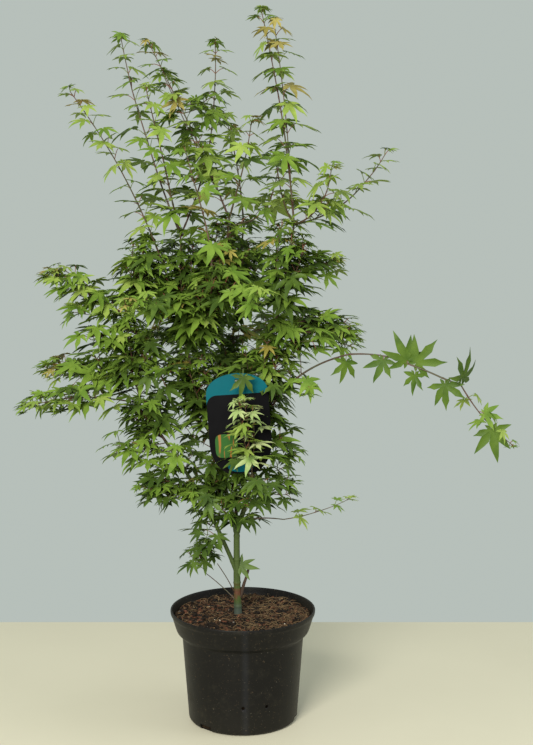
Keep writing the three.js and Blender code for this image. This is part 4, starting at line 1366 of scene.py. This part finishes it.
tag = add_piece("hang_tag_card", hung(card_rings.reshape(-1, 3)), card_faces, tag_look, smooth=False)
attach(tag, "root")
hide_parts("hang_tag")

# ---------------------------------------------------------------- the tag's tie
# A loop of thin clear line through the card's hole and round the nearest shoot above it, as long
# as the way between them and a little slack.

TIE_GREY, TIE_PALE = (0.30, 0.32, 0.30), (0.42, 0.45, 0.42)
TIE_RADIUS, TIE_POINTS, TIE_SIDES = 0.0006, 41, 6
TIE_SLACK, TIE_SPREAD, TIE_RISE = 1.06, 0.004, 0.004

tie_look = Look("clear_tie", 0.35)
tie_look.feed("Base Color", tie_look.mix(tie_look.noise(60, 2), TIE_GREY, TIE_PALE))
hole_centre = hung(np.array([[0.0, 0.0, TAG_TALL / 2 - TAG_HOLE_DROP]]))[0]
woods = np.concatenate(list(wood.values()))
woods = woods[woods[:, 2] > hole_centre[2] + TIE_RISE]
hook = woods[np.linalg.norm(woods - hole_centre, axis=1).argmin()]
turn = np.linspace(0, 2 * np.pi, TIE_POINTS)[:, None]
half_way = (hook - hole_centre) / 2
sideways = np.cross(unit(half_way), UP) * TIE_SPREAD
tie_path = hole_centre + half_way + half_way * TIE_SLACK * np.cos(turn) + sideways * np.sin(turn)
tie_tube = tubes(tie_path[None], np.full((1, TIE_POINTS), TIE_RADIUS), TIE_SIDES)
tie = add_piece("hang_tag_tie", *tie_tube, tie_look)
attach(tie, "root")

# ---------------------------------------------------------------- floor, light and camera
# A plain pale floor that ends a little behind the pot, against a plain pale background, lit by a
# large soft lamp in front, a weaker one on the right and the background's own even light.

FLOOR_HALF, FLOOR_FRONT, FLOOR_BACK = 4, -4.5, 0.461
CREAM, PALE_CREAM, GREY_GREEN = (0.60, 0.56, 0.43), (0.66, 0.62, 0.48), (0.472, 0.525, 0.492)
floor_points = np.array([
    (-FLOOR_HALF, FLOOR_FRONT, 0),
    (FLOOR_HALF, FLOOR_FRONT, 0),
    (FLOOR_HALF, FLOOR_BACK, 0),
    (-FLOOR_HALF, FLOOR_BACK, 0),
])
floor_look = Look("pale_floor", 0.6)
floor_look.feed("Base Color", floor_look.mix(floor_look.noise(3, 4), CREAM, PALE_CREAM))
floor = add_piece("floor", floor_points, np.array([[0, 1, 2, 3]]), floor_look)
floor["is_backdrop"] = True

world = bpy.data.worlds.new("pale_room")
world.use_nodes = True
world.node_tree.nodes["Background"].inputs["Color"].default_value = (*GREY_GREEN, 1)
world.node_tree.nodes["Background"].inputs["Strength"].default_value = 1.0
bpy.context.scene.world = world


def add_lamp(name, place, aim, size, power, colour):
    """A square area lamp that faces a point."""
    lamp = bpy.data.lights.new(name, "AREA")
    lamp.size = size
    lamp.energy = power
    lamp.color = colour
    holder = bpy.data.objects.new(name, lamp)
    bpy.context.scene.collection.objects.link(holder)
    holder.location = place
    direction = Vector(aim) - Vector(place)
    holder.rotation_euler = direction.to_track_quat("-Z", "Y").to_euler()


add_lamp("soft_front", (-0.7, -2.4, 1.75), (0, 0, 0.5), 1.1, 100, (1.0, 0.98, 0.92))
add_lamp("soft_right", (2.2, -0.4, 1.6), (0, 0, 0.5), 1.4, 16, (0.96, 0.98, 1.0))

CAMERA_BACK, CAMERA_HEIGHT, CAMERA_ASIDE = 2.25, 0.894, 0.0365
CAMERA_TILT = 0.155
camera = bpy.data.cameras.new("camera")
camera.sensor_width = 36
camera.lens = 73.1
view = bpy.data.objects.new("camera", camera)
bpy.context.scene.collection.objects.link(view)
view.location = (CAMERA_ASIDE, -CAMERA_BACK, CAMERA_HEIGHT)
view.rotation_euler = (math.pi / 2 - CAMERA_TILT, 0, 0)
bpy.context.scene.camera = view
bpy.context.scene.view_settings.view_transform = "Standard"

low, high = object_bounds()
